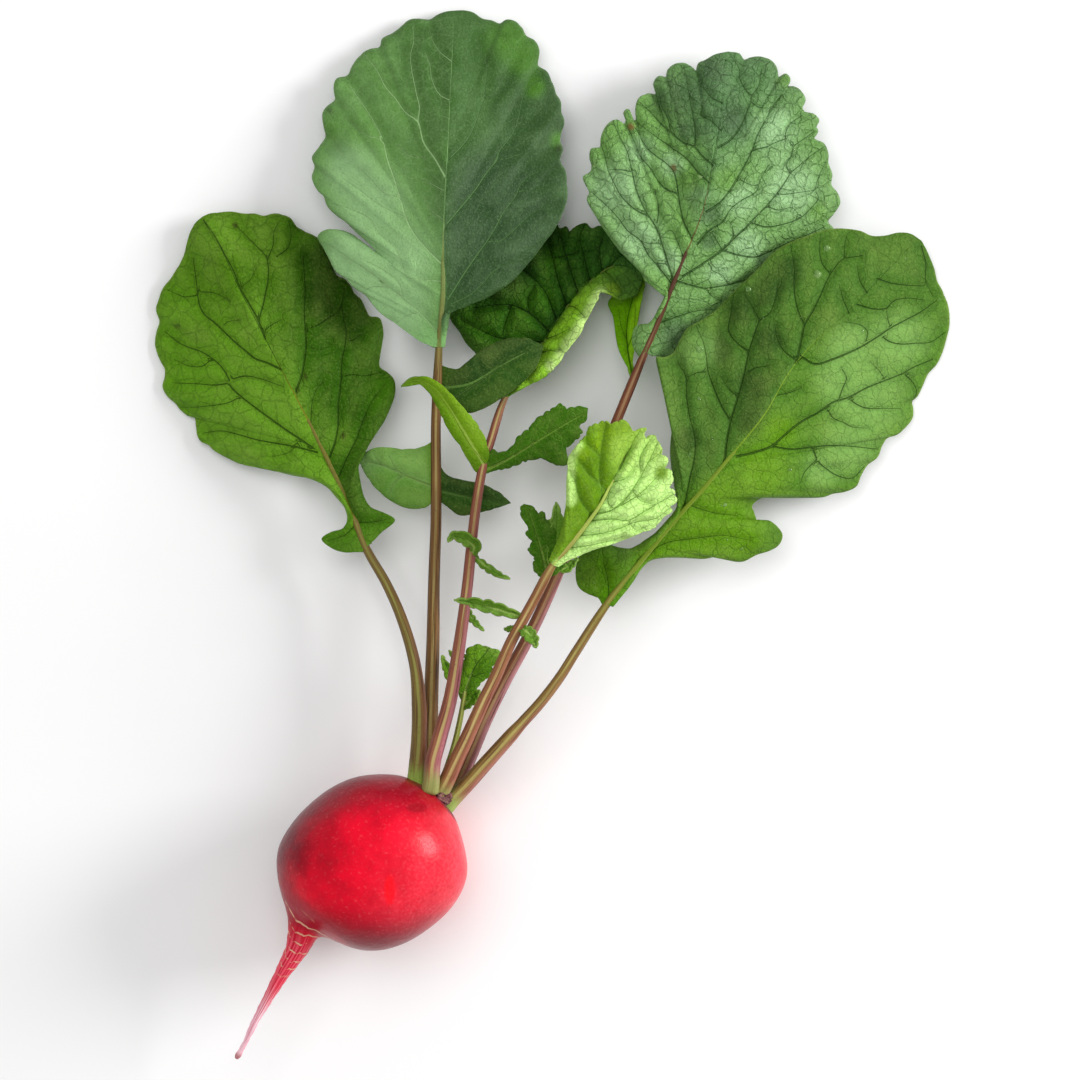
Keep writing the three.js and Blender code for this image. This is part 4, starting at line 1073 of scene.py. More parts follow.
FOLDED_CURLS = [
    dict(
        rib=[[472, 555, 17.6], [474, 546, 20.2], [465, 539, 21], [453, 536, 20.4],
             [448, 542, 19.6]],
        half=1.7,
        roll=0.5,
    ),
    dict(
        rib=[[471, 553, 17.4], [484, 565, 17.6], [498, 574, 17], [510, 579, 16]],
        half=0.9,
        roll=0.3,
    ),
    dict(rib=[[464, 602, 19.3], [471, 617, 19.2], [484, 631, 18]], half=0.8, roll=0.3),
]


def leaflet(name, rib, half, roll):
    """A pointed leaflet with uneven teeth, rolled about its midrib by an angle."""
    line = Line(place(rib))
    share = np.linspace(0, 1, LEAFLET_ROWS + 1)
    spot, ahead, aside, above = line.frames(share)
    side = aside * math.cos(roll) + above * math.sin(roll)
    seed = int(rib[0][0] + rib[-1][1])
    across = np.linspace(0, 1, LEAFLET_COLUMNS)
    across = np.concatenate([-across[::-1], across])
    swell = np.sin(np.pi * (0.1 + 0.88 * share)) * half
    left, right = [
        np.maximum(swell + notches(share, LEAFLET_TEETH, 0.3 * half, seed + side), 0.1 * swell)
        for side in (0, 1)
    ]
    wide = np.where(across[None] < 0, left[:, None], right[:, None]) * MM
    spots = spot[:, None] + side[:, None] * (wide * across[None])[..., None]
    out = np.abs(across)[None]
    spots[..., 2] += 0.3 * half * MM * out ** 2
    spots[..., 2] += 0.12 * MM * np.sin(share[:, None] * 30 + 2 * out) * np.sin(np.pi * out)
    none = np.zeros(spots.shape[:2])
    far = none + VEIN_RANGE
    up = share[:, None]
    return thin_sheet(name, spots, {
        "veins": pair(far, far), "rib": pair(across[None] * wide / MM, across[None]),
        "height": pair(up, none), "tint_a": pair(none, none), "tint_b": pair(none, none),
        "midrib": pair(up, none)})


folded_blade = blade("folded_leaf", FOLDED_RIB, FOLDED_MARGIN_LEFT, FOLDED_MARGIN_RIGHT,
                     FOLDED_VEINS, tints=(FOLDED_SHADE, FOLDED_PAINTED_LIGHT, FOLDED_STRIP, FOLDED_CURL),
                     notch=(16, 0.25), arch=0.6, ruffle=0.4, relief=0.75, crinkle=0.6, rows=240)
dress(folded_blade, leaf_finish(
    "folded_leaf_skin", left=colour(36, 78, 14), right=colour(140, 196, 44),
    foot=colour(78, 126, 22), tip=colour(58, 106, 38), vein=colour(20, 44, 12),
    midrib=colour(36, 68, 16), net=0.3, net_size=2.2, rib_width=0.25, mottle=0.5,
    foot_reach=0.14, shine_tone=colour(170, 216, 92),
    tints=((colour(38, 76, 28), 0.6), (colour(62, 116, 16), 0.5), (colour(212, 248, 148), 0.95),
           (colour(134, 176, 40), 0.8))),
    "folded_leaf_blade")
curled_skin = leaf_finish(
    "curled_leaflet_skin", left=colour(96, 142, 10), right=colour(116, 160, 22),
    foot=colour(90, 134, 12), tip=colour(76, 124, 10), vein=colour(150, 186, 60),
    midrib=colour(160, 190, 80), net=0.15, net_size=2, rib_width=0.16)
toothed_skin = leaf_finish(
    "toothed_leaflet_skin", left=colour(56, 106, 8), right=colour(50, 98, 6),
    foot=colour(58, 106, 8), tip=colour(70, 116, 24), vein=colour(104, 142, 50),
    midrib=colour(118, 150, 60), net=0.3, net_size=1.8, rib_width=0.2, mottle=0.45)
small_skin = leaf_finish(
    "small_leaflet_skin", left=colour(110, 150, 56), right=colour(90, 136, 34),
    foot=colour(96, 136, 40), tip=colour(124, 166, 72), vein=colour(76, 116, 30),
    midrib=colour(150, 180, 90), net=0.2, net_size=1.6, rib_width=0.16, mottle=0.5)
curled = lobe("curled_leaflet", notch=(9, 0.25), **FOLDED_LEAFLETS[0])
toothed = lobe("toothed_leaflet", notch=(15, 0.55), **FOLDED_LEAFLETS[1])
dress(curled, curled_skin, "folded_leaf_stalk")
dress(toothed, toothed_skin, "folded_leaf_stalk")
curls = joined("folded_curls", [leaflet("folded_curl", **sizes) for sizes in FOLDED_CURLS])
dress(curls, small_skin, "folded_leaf_stalk")
stalk("folded_stalk", FOLDED_STALK, FOLDED_RIB, (1.5, 0.9, 0.28, 0.12), 0.3, "folded_leaf_stalk",
      "stalk_red",
      flank=colour(104, 44, 44), ridge=colour(150, 92, 66), groove=colour(190, 170, 108),
      foot=colour(146, 150, 84), rib=colour(96, 120, 44), blush=colour(190, 116, 128))


# The crinkled leaf: puffed up between its veins and pale, partly its own tone and partly painted
# sheen, at the upper right. A bright folded leaflet hangs from its stalk below the folded leaf.
CRINKLED_STALK = [
    [438, 806, 12.6], [452, 791, 12], [461, 775, 12.2], [470, 755, 12.6], [485, 720, 13.6],
    [505, 680, 14.4], [527, 640, 15.1], [555, 580, 15.6], [591, 485, 15.8], [617, 420, 15.8],
    [632, 382, 15.4],
]
CRINKLED_RIB = [
    [645, 352, 17], [658, 322, 18], [670, 292, 19], [684, 258, 19.5], [697, 228, 20],
    [706, 198, 20], [712, 165, 18.5], [718, 130, 15.5], [721, 98, 12], [721, 68, 8.5],
]
CRINKLED_MARGIN_LEFT = [
    [640, 358, 16.5, 0], [633, 345, 15.5, 0.02], [636, 327, 15.5, 0.04], [650, 323, 17, 0.08],
    [660, 307, 18, 0.14], [667, 292, 18.5, 0.175], [665, 286], [655, 283, 17.5, 0.185], [645, 280],
    [642, 273, 16, 0.19], [632, 262], [620, 250, 15, 0.195], [611, 238], [603, 227, 14, 0.2],
    [597, 217], [590, 206, 13, 0.21], [587, 199], [589, 192], [585, 183], [583, 177, 12.5, 0.225],
    [590, 172], [592, 165], [590, 157], [591, 149, 12, 0.25], [600, 147], [601, 138], [605, 128],
    [611, 121], [617, 120, 11, 0.29], [624, 124], [626, 118], [624, 112], [628, 109], [632, 120],
    [636, 120], [636, 108], [638, 99, 10, 0.38], [646, 94], [656, 93], [654, 83], [659, 76],
    [666, 77, 9, 0.48], [668, 70], [675, 64], [684, 63], [691, 67], [696, 71, 8, 0.62], [699, 63],
    [706, 60], [715, 55, 7, 0.8], [728, 52, 6.5, 1],
]
CRINKLED_MARGIN_RIGHT = [
    [652, 356, 16.5, 0], [675, 356, 14, 0.02], [702, 345, 12, 0.05], [735, 325, 10.5, 0.09],
    [770, 303, 9, 0.13], [802, 276, 8.5, 0.18], [826, 248, 8, 0.22], [834, 231], [828, 221],
    [834, 213, 8, 0.27], [840, 203], [837, 192], [831, 184, 8, 0.31], [832, 173], [828, 163],
    [828, 153, 8, 0.35], [824, 144], [814, 138, 7.8, 0.38], [818, 131], [816, 126], [819, 120],
    [814, 114], [805, 112, 7.5, 0.41], [802, 108], [805, 99], [801, 91, 7, 0.45], [794, 87],
    [788, 86], [790, 79], [786, 74], [779, 77, 6.5, 0.53], [776, 67], [770, 60], [760, 57, 6, 0.68],
    [751, 58], [744, 60], [739, 54, 6, 0.86], [728, 52, 6.5, 1],
]
CRINKLED_VEINS = [
    [1.5, (719, 147), (730, 140), (738, 130), (744, 118), (750, 102), (752, 95), (758, 87),
     (761, 72)],
    [0.9, (751, 97), (744, 88), (740, 80), (739, 70), (732, 58)],
    [1.6, (707, 211), (718, 204), (729, 191), (737, 178), (745, 164), (752, 150), (757, 136),
     (765, 120), (771, 108), (779, 97)],
    [0.9, (753, 150), (765, 147), (780, 141), (792, 141)],
    [1.4, (698, 243), (708, 231), (722, 222), (731, 208), (742, 200), (756, 192), (760, 180),
     (767, 167)],
    [1.7, (683, 276), (696, 268), (708, 260), (722, 250), (732, 240), (743, 230), (754, 218),
     (766, 206), (776, 194), (784, 183), (789, 174), (786, 165), (791, 155), (792, 146), (785, 137),
     (790, 124), (800, 117)],
    [1.3, (722, 250), (738, 255), (755, 257), (768, 252), (785, 244), (800, 238), (822, 228)],
    [1.0, (752, 223), (765, 227), (780, 225), (800, 218), (812, 207), (818, 198), (815, 190),
     (819, 175), (824, 165)],
    [1.3, (677, 281), (690, 285), (705, 288), (720, 286), (735, 283), (758, 274), (775, 264)],
    [0.8, (705, 288), (712, 296), (722, 301)],
    [1.0, (662, 322), (678, 316), (694, 311), (714, 309)],
    [0.8, (789, 174), (800, 165), (812, 155), (824, 147)],
    [0.8, (792, 146), (802, 140), (812, 133)],
    [1.4, (712, 165), (702, 156), (694, 147), (682, 142), (672, 133), (661, 124), (650, 112),
     (641, 104)],
    [0.9, (695, 147), (695, 130), (692, 112), (689, 96), (687, 82), (684, 68)],
    [1.1, (708, 182), (698, 172), (690, 162), (678, 152), (665, 143), (652, 134), (640, 124)],
    [1.4, (691, 237), (684, 222), (680, 205), (678, 190), (674, 172), (668, 165), (655, 155),
     (645, 145), (636, 130)],
    [1.1, (678, 194), (666, 189), (657, 180), (650, 168), (642, 158), (635, 142), (628, 128)],
    [1.6, (674, 283), (668, 264), (662, 244), (655, 226), (646, 212), (637, 192), (632, 172),
     (627, 152), (619, 136), (613, 122)],
    [1.3, (672, 284), (661, 270), (648, 254), (641, 241), (628, 231), (619, 219), (607, 206),
     (594, 194)],
    [1.0, (647, 216), (634, 209), (622, 197), (614, 183), (608, 170), (605, 155), (601, 144)],
    [0.8, (657, 222), (659, 208), (656, 192)],
    [0.8, (683, 256), (677, 240), (671, 230), (662, 236)],
    [0.7, (662, 243), (648, 243), (641, 241)],
    [0.8, (720, 130), (712, 122), (702, 116), (692, 112)],
    [0.8, (721, 103), (712, 98), (704, 88), (700, 76)],
    [0.7, (668, 264), (655, 262), (648, 254)],
    [0.8, (671, 132), (668, 118), (662, 106), (660, 95)],
    [0.8, (632, 172), (622, 170), (608, 170)],
    [0.7, (737, 178), (748, 184), (758, 186)],
    [0.7, (776, 194), (788, 194), (800, 192), (815, 190)],
    [0.7, (766, 206), (778, 210), (792, 208), (800, 218)],
    [0.7, (722, 250), (716, 240), (710, 230)],
    [0.7, (750, 102), (760, 108), (770, 108)],
    [0.7, (708, 260), (712, 270), (722, 275), (728, 284)],
    [0.7, (732, 240), (732, 226), (726, 218)],
]
# Painted shade, then painted light: soft patches, each a picture x, picture y and radius.
CRINKLED_SHADE = [
    (690, 95, 26), (665, 100, 18), (712, 70, 16), (690, 130, 18), (676, 334, 22), (712, 215, 14),
    (708, 242, 12), (765, 262, 10), (735, 120, 20),
]
CRINKLED_PAINTED_LIGHT = [
    (615, 190, 34), (640, 240, 28), (640, 150, 18), (790, 190, 34), (775, 130, 26), (738, 200, 20),
    (745, 245, 20), (720, 272, 16), (670, 262, 16), (672, 165, 14),
]
CRINKLED_RUST = [(674, 168, 4), (631, 127, 4)]
CRINKLED_LEAFY = [(818, 212, 12), (690, 180, 14), (785, 80, 10), (725, 180, 16)]
BRIGHT_VEINS = [
    [0.8, (632, 372), (628, 350), (627, 325), (632, 300), (637, 284)],
    [0.5, (628, 350), (634, 330), (636, 308)],
    [0.5, (628, 345), (621, 326), (619, 312)],
]
BRIGHT_LEAFLET = dict(
    rib=[[633, 378, 15], [629, 360, 12.5], [627, 340, 9.5], [628, 320, 6.6], [633, 300, 4.4],
         [638, 284, 3.6]],
    left=[[631, 378, 15, 0], [626, 364, 12.6, 0.12], [619, 350], [616, 336, 8.6, 0.4],
          [613, 316, 6, 0.62], [608, 302, 5, 0.8], [625, 286, 4, 0.93], [642, 274, 3.4, 1]],
    right=[[635, 378, 15, 0], [633, 365, 12.8, 0.12], [636, 338, 9.4, 0.4], [639, 315, 7, 0.62],
           [642, 300, 5.6, 0.8], [645, 284, 4.4, 0.93], [642, 274, 3.4, 1]],
    veins=BRIGHT_VEINS,
)

crinkled_blade = blade("crinkled_leaf", CRINKLED_RIB, CRINKLED_MARGIN_LEFT,
                       CRINKLED_MARGIN_RIGHT, CRINKLED_VEINS,
                       tints=(CRINKLED_SHADE, CRINKLED_PAINTED_LIGHT, CRINKLED_RUST, CRINKLED_LEAFY),
                       notch=(24, 0.12), arch=1, ruffle=0.5, relief=0.42, crinkle=0.2, rows=380,
                       columns=42)
dress(crinkled_blade, leaf_finish(
    "crinkled_leaf_skin", left=colour(118, 168, 82), right=colour(110, 156, 80),
    foot=colour(58, 94, 42), tip=colour(84, 124, 72), vein=colour(46, 84, 26),
    midrib=colour(104, 86, 46), net=0.3, net_size=3.2, gloss=0.26, shine=0.42, depth=0.7,
    shine_tone=colour(200, 230, 180), foot_reach=0.1, rib_reach=0.5, rib_width=0.3,
    tints=((colour(44, 74, 40), 0.7), (colour(158, 200, 142), 0.75), (colour(150, 70, 40), 0.75),
           (colour(90, 140, 26), 0.6))),
    "crinkled_leaf_blade")
bright_skin = leaf_finish(
    "bright_leaflet_skin", left=colour(110, 172, 8), right=colour(140, 200, 24),
    foot=colour(112, 170, 14), tip=colour(100, 152, 16), vein=colour(58, 100, 10),
    midrib=colour(66, 110, 12), net=0.15, net_size=2, rib_width=0.2)
bright = lobe("bright_leaflet", **BRIGHT_LEAFLET)
dress(bright, bright_skin, "crinkled_leaf_stalk")
stalk("crinkled_stalk", CRINKLED_STALK, CRINKLED_RIB, (1.5, 1.0, 0.26, 0.1), 0.5,
      "crinkled_leaf_stalk", "stalk_red",
      flank=colour(84, 40, 30), ridge=colour(132, 80, 54), groove=colour(180, 148, 104),
      foot=colour(150, 160, 88), rib=colour(84, 52, 34), blush=colour(196, 136, 142))


# The right leaf: the broadest, with a thick yellow-green midrib, a lobe at its foot and a
# larger one below. It lies on the crinkled leaf, and its right margin sags to the table.
RIGHT_STALK = [
    [441, 813, 15.6], [454, 798, 15.6], [470, 781, 15.9], [487, 762, 16.3], [505, 742, 16.7],
    [523, 722, 17.1], [541, 702, 17.5], [560, 677, 17.7], [577, 650, 17.8], [591, 626, 17.7],
]
RIGHT_RIB = [
    [607, 604, 19.5], [628, 577, 20], [650, 550, 20.5], [675, 520, 21.5], [703, 489, 22.5],
    [733, 453, 23], [763, 416, 23], [787, 375, 22], [813, 343, 20], [845, 314, 16.5],
    [877, 281, 12], [908, 249, 7.5],
]
RIGHT_MARGIN_LEFT = [
    [602, 604, 19, 0], [598, 597], [588, 593, 17.5, 0.01], [579, 587], [576, 577, 16.5, 0.03],
    [577, 564], [582, 552, 16.5, 0.06], [594, 547], [607, 545, 18, 0.09], [620, 548],
    [630, 549, 19.5, 0.12], [645, 541, 20.5, 0.16], [657, 532], [667, 521, 21, 0.2],
    [677, 508, 21, 0.23], [678, 500], [675, 485, 20, 0.24], [672, 465], [671, 450, 19, 0.245],
    [673, 425], [673, 408, 18.5, 0.25], [672, 388], [668, 374, 18.8, 0.255], [661, 364],
    [656, 357, 19, 0.265], [665, 357], [674, 352, 18, 0.275], [679, 343], [687, 329, 17.5, 0.29],
    [700, 321], [714, 312, 16.5, 0.32], [725, 301], [740, 286, 16.5, 0.37], [755, 272],
    [770, 256, 16, 0.45], [783, 246], [795, 240], [808, 236, 14.5, 0.56], [820, 231],
    [832, 229, 12.5, 0.68], [846, 229], [860, 231], [871, 236, 10, 0.8], [884, 236],
    [898, 233, 7, 0.92], [910, 234], [921, 241, 5, 1],
]
RIGHT_MARGIN_RIGHT = [
    [613, 607, 19.5, 0], [630, 585, 19.5, 0.05], [641, 568, 19, 0.1], [650, 560],
    [664, 557, 17, 0.12], [685, 557], [704, 558, 14, 0.14], [718, 556], [728, 559],
    [738, 561, 11, 0.16], [746, 560], [757, 554], [770, 550, 9.5, 0.185], [779, 544],
    [782, 535, 9.5, 0.21], [776, 526], [768, 521], [762, 522, 11, 0.235], [757, 520], [753, 511],
    [752, 505, 13, 0.26], [758, 499], [768, 496, 12, 0.28], [785, 497], [805, 497, 9, 0.3],
    [825, 496], [833, 493], [845, 491, 6, 0.32], [856, 486], [861, 475], [868, 464, 4.5, 0.345],
    [877, 457], [882, 445, 3.5, 0.365], [888, 437], [897, 434], [905, 427], [912, 418, 2, 0.39],
    [913, 408], [912, 401], [917, 396, 1.2, 0.42], [922, 386], [928, 373], [936, 364],
    [941, 354, 0.9, 0.48], [946, 338], [949, 323, 0.8, 0.58], [948, 308], [943, 293, 1.2, 0.72],
    [937, 282], [934, 270], [930, 259, 2.5, 0.87], [926, 250], [921, 241, 5, 1],
]
RIGHT_VEINS = [
    [1.2, (684, 508), (689, 482), (694, 460), (695, 440), (690, 418), (687, 398), (686, 376),
     (679, 364)],
    [1.7, (724, 463), (727, 440), (731, 420), (738, 397), (744, 375), (749, 352), (755, 333),
     (760, 321), (770, 313), (775, 300), (778, 286)],
    [1.3, (731, 422), (722, 407), (714, 388), (708, 372), (706, 356), (703, 342), (697, 328)],
    [1.0, (749, 352), (738, 344), (729, 331), (731, 316), (734, 296)],
    [0.9, (760, 321), (753, 308), (744, 294)],
    [0.8, (708, 372), (697, 373), (687, 378)],
    [1.0, (795, 360), (783, 350), (777, 338), (775, 325)],
    [1.6, (796, 362), (801, 340), (804, 326), (812, 312), (820, 296), (827, 280), (833, 270),
     (842, 260), (860, 256)],
    [1.2, (804, 326), (797, 308), (794, 290), (794, 268), (791, 248)],
    [1.0, (830, 274), (822, 264), (819, 250), (820, 236)],
    [0.8, (844, 259), (844, 248), (846, 238)],
    [0.9, (866, 292), (860, 282), (857, 268)],
    [0.9, (848, 312), (843, 300), (839, 286)],
    [1.8, (737, 456), (755, 452), (771, 446), (785, 434), (800, 422), (818, 412), (832, 402),
     (848, 397), (865, 388), (885, 380), (900, 374), (915, 366), (930, 360)],
    [0.9, (838, 400), (842, 388), (846, 378), (841, 368)],
    [1.3, (771, 446), (790, 449), (810, 447), (830, 445), (850, 446), (876, 449)],
    [1.1, (812, 448), (817, 460), (825, 468), (838, 476), (852, 478), (862, 468)],
    [0.9, (848, 398), (856, 404), (866, 408), (880, 408), (898, 409)],
    [0.8, (826, 407), (832, 417), (842, 422), (852, 427), (866, 428)],
    [0.7, (815, 460), (804, 472), (800, 482)],
    [0.9, (903, 373), (912, 382), (916, 392), (911, 402)],
    [1.6, (801, 357), (815, 364), (830, 360), (845, 354), (860, 347), (875, 338), (890, 328),
     (905, 320), (920, 312), (934, 302)],
    [1.0, (880, 335), (888, 341), (900, 344), (915, 343), (930, 342), (942, 334)],
    [0.7, (865, 342), (867, 332), (860, 325), (845, 322)],
    [1.0, (858, 305), (874, 309), (886, 308), (893, 301), (906, 298), (922, 300)],
    [0.7, (890, 328), (887, 318), (886, 308)],
    [1.0, (878, 279), (890, 283), (905, 285), (924, 286)],
    [0.9, (921, 248), (925, 264), (925, 280), (932, 296)],
    [0.7, (738, 397), (730, 390), (722, 378)],
    [0.7, (744, 375), (756, 368), (768, 366)],
    [0.7, (778, 395), (790, 392), (800, 388)],
    [0.6, (640, 560), (665, 543), (695, 538), (722, 535), (750, 540)],
    [0.6, (690, 505), (712, 512), (735, 515)],
    [0.7, (609, 598), (608, 580), (604, 562)],
    [0.7, (885, 380), (878, 370), (870, 362)],
]
# Painted shade, then painted light: soft patches, each a picture x, picture y and radius.
RIGHT_SHADE = [
    (770, 290, 22), (752, 385, 24), (750, 420, 18), (770, 340, 20), (688, 440, 16), (740, 310, 20),
    (790, 270, 18), (720, 350, 18),
]
RIGHT_PAINTED_LIGHT = [
    (870, 400, 44), (900, 340, 34), (850, 450, 30), (820, 470, 20), (700, 350, 24), (850, 345, 24),
    (840, 380, 26),
]
# Painted shade at the foot of the blade.
RIGHT_FOOT_SHADE = [(598, 575, 20)]
RIGHT_LEAFY = [
    (690, 535, 40), (740, 535, 32), (720, 500, 28), (760, 470, 34), (650, 560, 22), (600, 575, 22),
    (780, 430, 20),
]

right_blade = blade("right_leaf", RIGHT_RIB, RIGHT_MARGIN_LEFT, RIGHT_MARGIN_RIGHT, RIGHT_VEINS,
                    tints=(RIGHT_SHADE, RIGHT_PAINTED_LIGHT, RIGHT_LEAFY, RIGHT_FOOT_SHADE), notch=(26, 0.12),
                    arch=1.2, ruffle=0.4, relief=0.3, rows=400, columns=42)
dress(right_blade, leaf_finish(
    "right_leaf_skin", left=colour(76, 118, 42), right=colour(78, 124, 30), foot=colour(82, 138, 6),
    tip=colour(66, 106, 30), vein=colour(34, 64, 12), midrib=colour(120, 150, 40), net=0.2,
    net_size=2.8, foot_reach=0.16, rib_width=0.34, rib_reach=0.62,
    tints=((colour(40, 66, 24), 0.65), (colour(132, 176, 92), 0.6), (colour(94, 142, 6), 0.8),
           (colour(44, 84, 6), 0.5))),
    "right_leaf_blade")
stalk("right_stalk", RIGHT_STALK, RIGHT_RIB, (1.45, 0.95, 0.36, 0.1), 0.62,
      "right_leaf_stalk", "stalk_olive",
      flank=colour(100, 62, 42), ridge=colour(144, 118, 60), groove=colour(178, 168, 96),
      foot=colour(158, 180, 92), rib=colour(118, 142, 36), blush=colour(172, 108, 96))


# The young leaf: the topmost, lime green and finely crinkled, its left margin rolled up. Small
# toothed leaflets crowd the stalk below it.
YOUNG_STALK = [
    [434, 803, 17.6], [443, 788, 18.4], [456, 761, 20.5], [466, 740, 22], [475, 720, 23.2],
    [484, 700, 24.2], [494, 680, 25.1], [503, 660, 25.9], [512, 640, 26.6], [523, 620, 27.3],
    [534, 600, 27.8], [545, 580, 28.1],
]
YOUNG_RIB = [
    [553, 565, 30], [569, 546, 30.5], [585, 526, 31], [600, 505, 31.5], [611, 484, 31.5],
    [621, 465, 31], [632, 446, 30],
]
YOUNG_MARGIN_LEFT = [
    [549, 560, 30, 0], [560, 536, 31, 0.05], [565, 515, 33, 0.12], [567, 500],
    [567, 485, 34.5, 0.2], [568, 468], [568, 459, 35, 0.3], [574, 449], [580, 441, 35, 0.42],
    [586, 435], [589, 427, 34, 0.52], [593, 424], [597, 423, 33.6, 0.62], [604, 420],
    [611, 423, 33, 0.75], [617, 421], [624, 420, 31.5, 0.88], [629, 425], [633, 431],
    [641, 428, 30, 1],
]
YOUNG_MARGIN_RIGHT = [
    [558, 567, 30, 0], [566, 561, 29.8, 0.03], [575, 557], [586, 552, 29.3, 0.07],
    [600, 547, 29, 0.12], [615, 543], [627, 538, 28.7, 0.19], [640, 533], [655, 527, 28.5, 0.27],
    [661, 520], [667, 515], [673, 511, 28.5, 0.37], [670, 507], [676, 502], [677, 496, 28.5, 0.45],
    [674, 490], [670, 487], [673, 480, 28.5, 0.53], [673, 474], [669, 469], [665, 468, 28.5, 0.62],
    [668, 460], [663, 453], [662, 446, 29, 0.74], [658, 441], [656, 436], [651, 435, 29.5, 0.86],
    [646, 438], [644, 433], [646, 428], [641, 428, 30, 1],
]
YOUNG_VEINS = [
    [1.0, (608, 492), (598, 484), (588, 474), (579, 462)],
    [1.0, (602, 500), (599, 478), (600, 460), (603, 440), (606, 424)],
    [0.8, (600, 457), (591, 448), (583, 440)],
    [0.9, (592, 516), (580, 500), (575, 480)],
    [1.6, (598, 514), (612, 510), (622, 502), (632, 490), (641, 476), (648, 462), (655, 448),
     (659, 440)],
    [1.2, (622, 505), (635, 497), (645, 489), (655, 479), (666, 468)],
    [1.2, (592, 521), (612, 519), (628, 520), (642, 513), (655, 505), (672, 495)],
    [1.0, (580, 536), (598, 534), (615, 530), (635, 522), (655, 518), (668, 510)],
    [1.2, (621, 468), (628, 453), (633, 441), (639, 432)],
    [1.1, (641, 476), (640, 458), (646, 446), (653, 436)],
    [0.8, (632, 490), (640, 500), (655, 505)],
    [0.8, (648, 462), (656, 456), (662, 452)],
    [0.8, (572, 548), (590, 545), (608, 541), (622, 536)],
    [0.7, (615, 482), (626, 478), (636, 466)],
    [0.7, (628, 520), (636, 530), (642, 528)],
    [0.7, (612, 510), (608, 500), (612, 492)],
]
YOUNG_ROLL = [
    (569, 456, 6), (569, 461, 6), (569, 466, 6), (569, 471, 6), (569, 476, 6), (569, 481, 6),
    (569, 486, 6), (570, 491, 6), (570, 496, 6), (570, 501, 6), (574, 451, 6), (578, 446, 6),
]
# Painted shade: soft patches, each a picture x, picture y and radius.
YOUNG_SHADE = [
    (592, 480, 20), (585, 510, 16), (590, 455, 12), (602, 470, 12), (575, 530, 10), (660, 475, 8),
    (618, 430, 8),
]
YOUNG_LEAFY = [(607, 430, 12), (625, 428, 8), (583, 453, 8), (662, 472, 9), (600, 445, 10)]
YOUNG_CURLS = [
    dict(
        rib=[[522, 617, 27.2], [503, 611, 27.6], [482, 605, 27.2], [464, 601, 26.6],
             [454, 600, 26]],
        half=1.5,
        roll=0.3,
    ),
    dict(
        rib=[[519, 626, 27], [527, 632, 28.2], [534, 640, 27.4], [536, 648, 26.4]],
        half=1.5,
        roll=0.2,
    ),
    dict(rib=[[518, 628, 27], [510, 629, 26.3], [504, 629, 25.8]], half=0.7, roll=0),
    dict(
        rib=[[551, 566, 28], [554, 545, 28], [557, 520, 27.8], [556, 502, 27.6]],
        half=1.9,
        roll=0.2,
    ),
    dict(rib=[[554, 568, 27.8], [566, 568, 27.6], [578, 558, 27.4]], half=1.0, roll=0.2),
]
SERRATED = dict(
    rib=[[548, 578, 28], [543, 556, 28.2], [536, 532, 28], [529, 510, 27.4]],
    left=[[544, 579, 28, 0], [536, 574, 27.6, 0.12], [533, 566], [534, 557, 27.4, 0.3], [528, 550],
          [532, 541, 27.4, 0.48], [526, 534], [528, 526, 27.2, 0.68], [522, 518],
          [520, 508, 27, 0.9], [524, 504, 27, 1]],
    right=[[551, 577, 28, 0], [559, 572, 28, 0.12], [565, 564], [563, 553, 28, 0.28], [568, 545],
           [563, 534, 27.8, 0.44], [556, 527], [553, 520, 27.6, 0.58], [546, 519],
           [544, 511, 27.4, 0.76], [538, 513], [534, 507, 27.2, 0.9], [524, 504, 27, 1]],
    veins=[[0.8, (546, 574), (541, 552), (535, 530), (528, 511)],
           [0.5, (541, 552), (550, 545), (558, 540)],
           [0.5, (544, 565), (552, 560), (560, 560)]],
)

young_blade = blade("young_leaf", YOUNG_RIB, YOUNG_MARGIN_LEFT, YOUNG_MARGIN_RIGHT, YOUNG_VEINS,
                    tints=(YOUNG_SHADE, YOUNG_ROLL, YOUNG_LEAFY, ()), notch=(30, 0.4), arch=1,
                    ruffle=0.4, relief=0.7, crinkle=0.4, rows=300, columns=36)
# The left half is painted darker as shade.
dress(young_blade, leaf_finish(
    "young_leaf_skin", left=colour(106, 152, 4), right=colour(206, 250, 146),
    foot=colour(116, 158, 30), tip=colour(164, 204, 80), vein=colour(128, 178, 66),
    midrib=colour(190, 216, 110), net=0.3, net_size=1.5, foot_reach=0.06, rib_width=0.34,
    mottle=0.4,
    tints=((colour(84, 124, 4), 0.55), (colour(194, 236, 132), 0.95), (colour(124, 164, 6), 0.7))),
    "young_leaf_blade")
serrated = lobe("serrated_leaflet", notch=(12, 0.5), **SERRATED)
dress(serrated, toothed_skin, "young_leaf_stalk")
curls = joined("young_curls", [leaflet("young_curl", **sizes) for sizes in YOUNG_CURLS])
dress(curls, small_skin, "young_leaf_stalk")
stalk("young_stalk", YOUNG_STALK, YOUNG_RIB, (1.55, 1.05, 0.4, 0.14), 0.75, "young_leaf_stalk",
      "stalk_red", furrow=0.28,
      flank=colour(110, 54, 40), ridge=colour(150, 104, 64), groove=colour(206, 186, 120),
      foot=colour(152, 160, 88), rib=colour(176, 196, 90), blush=colour(168, 104, 84))


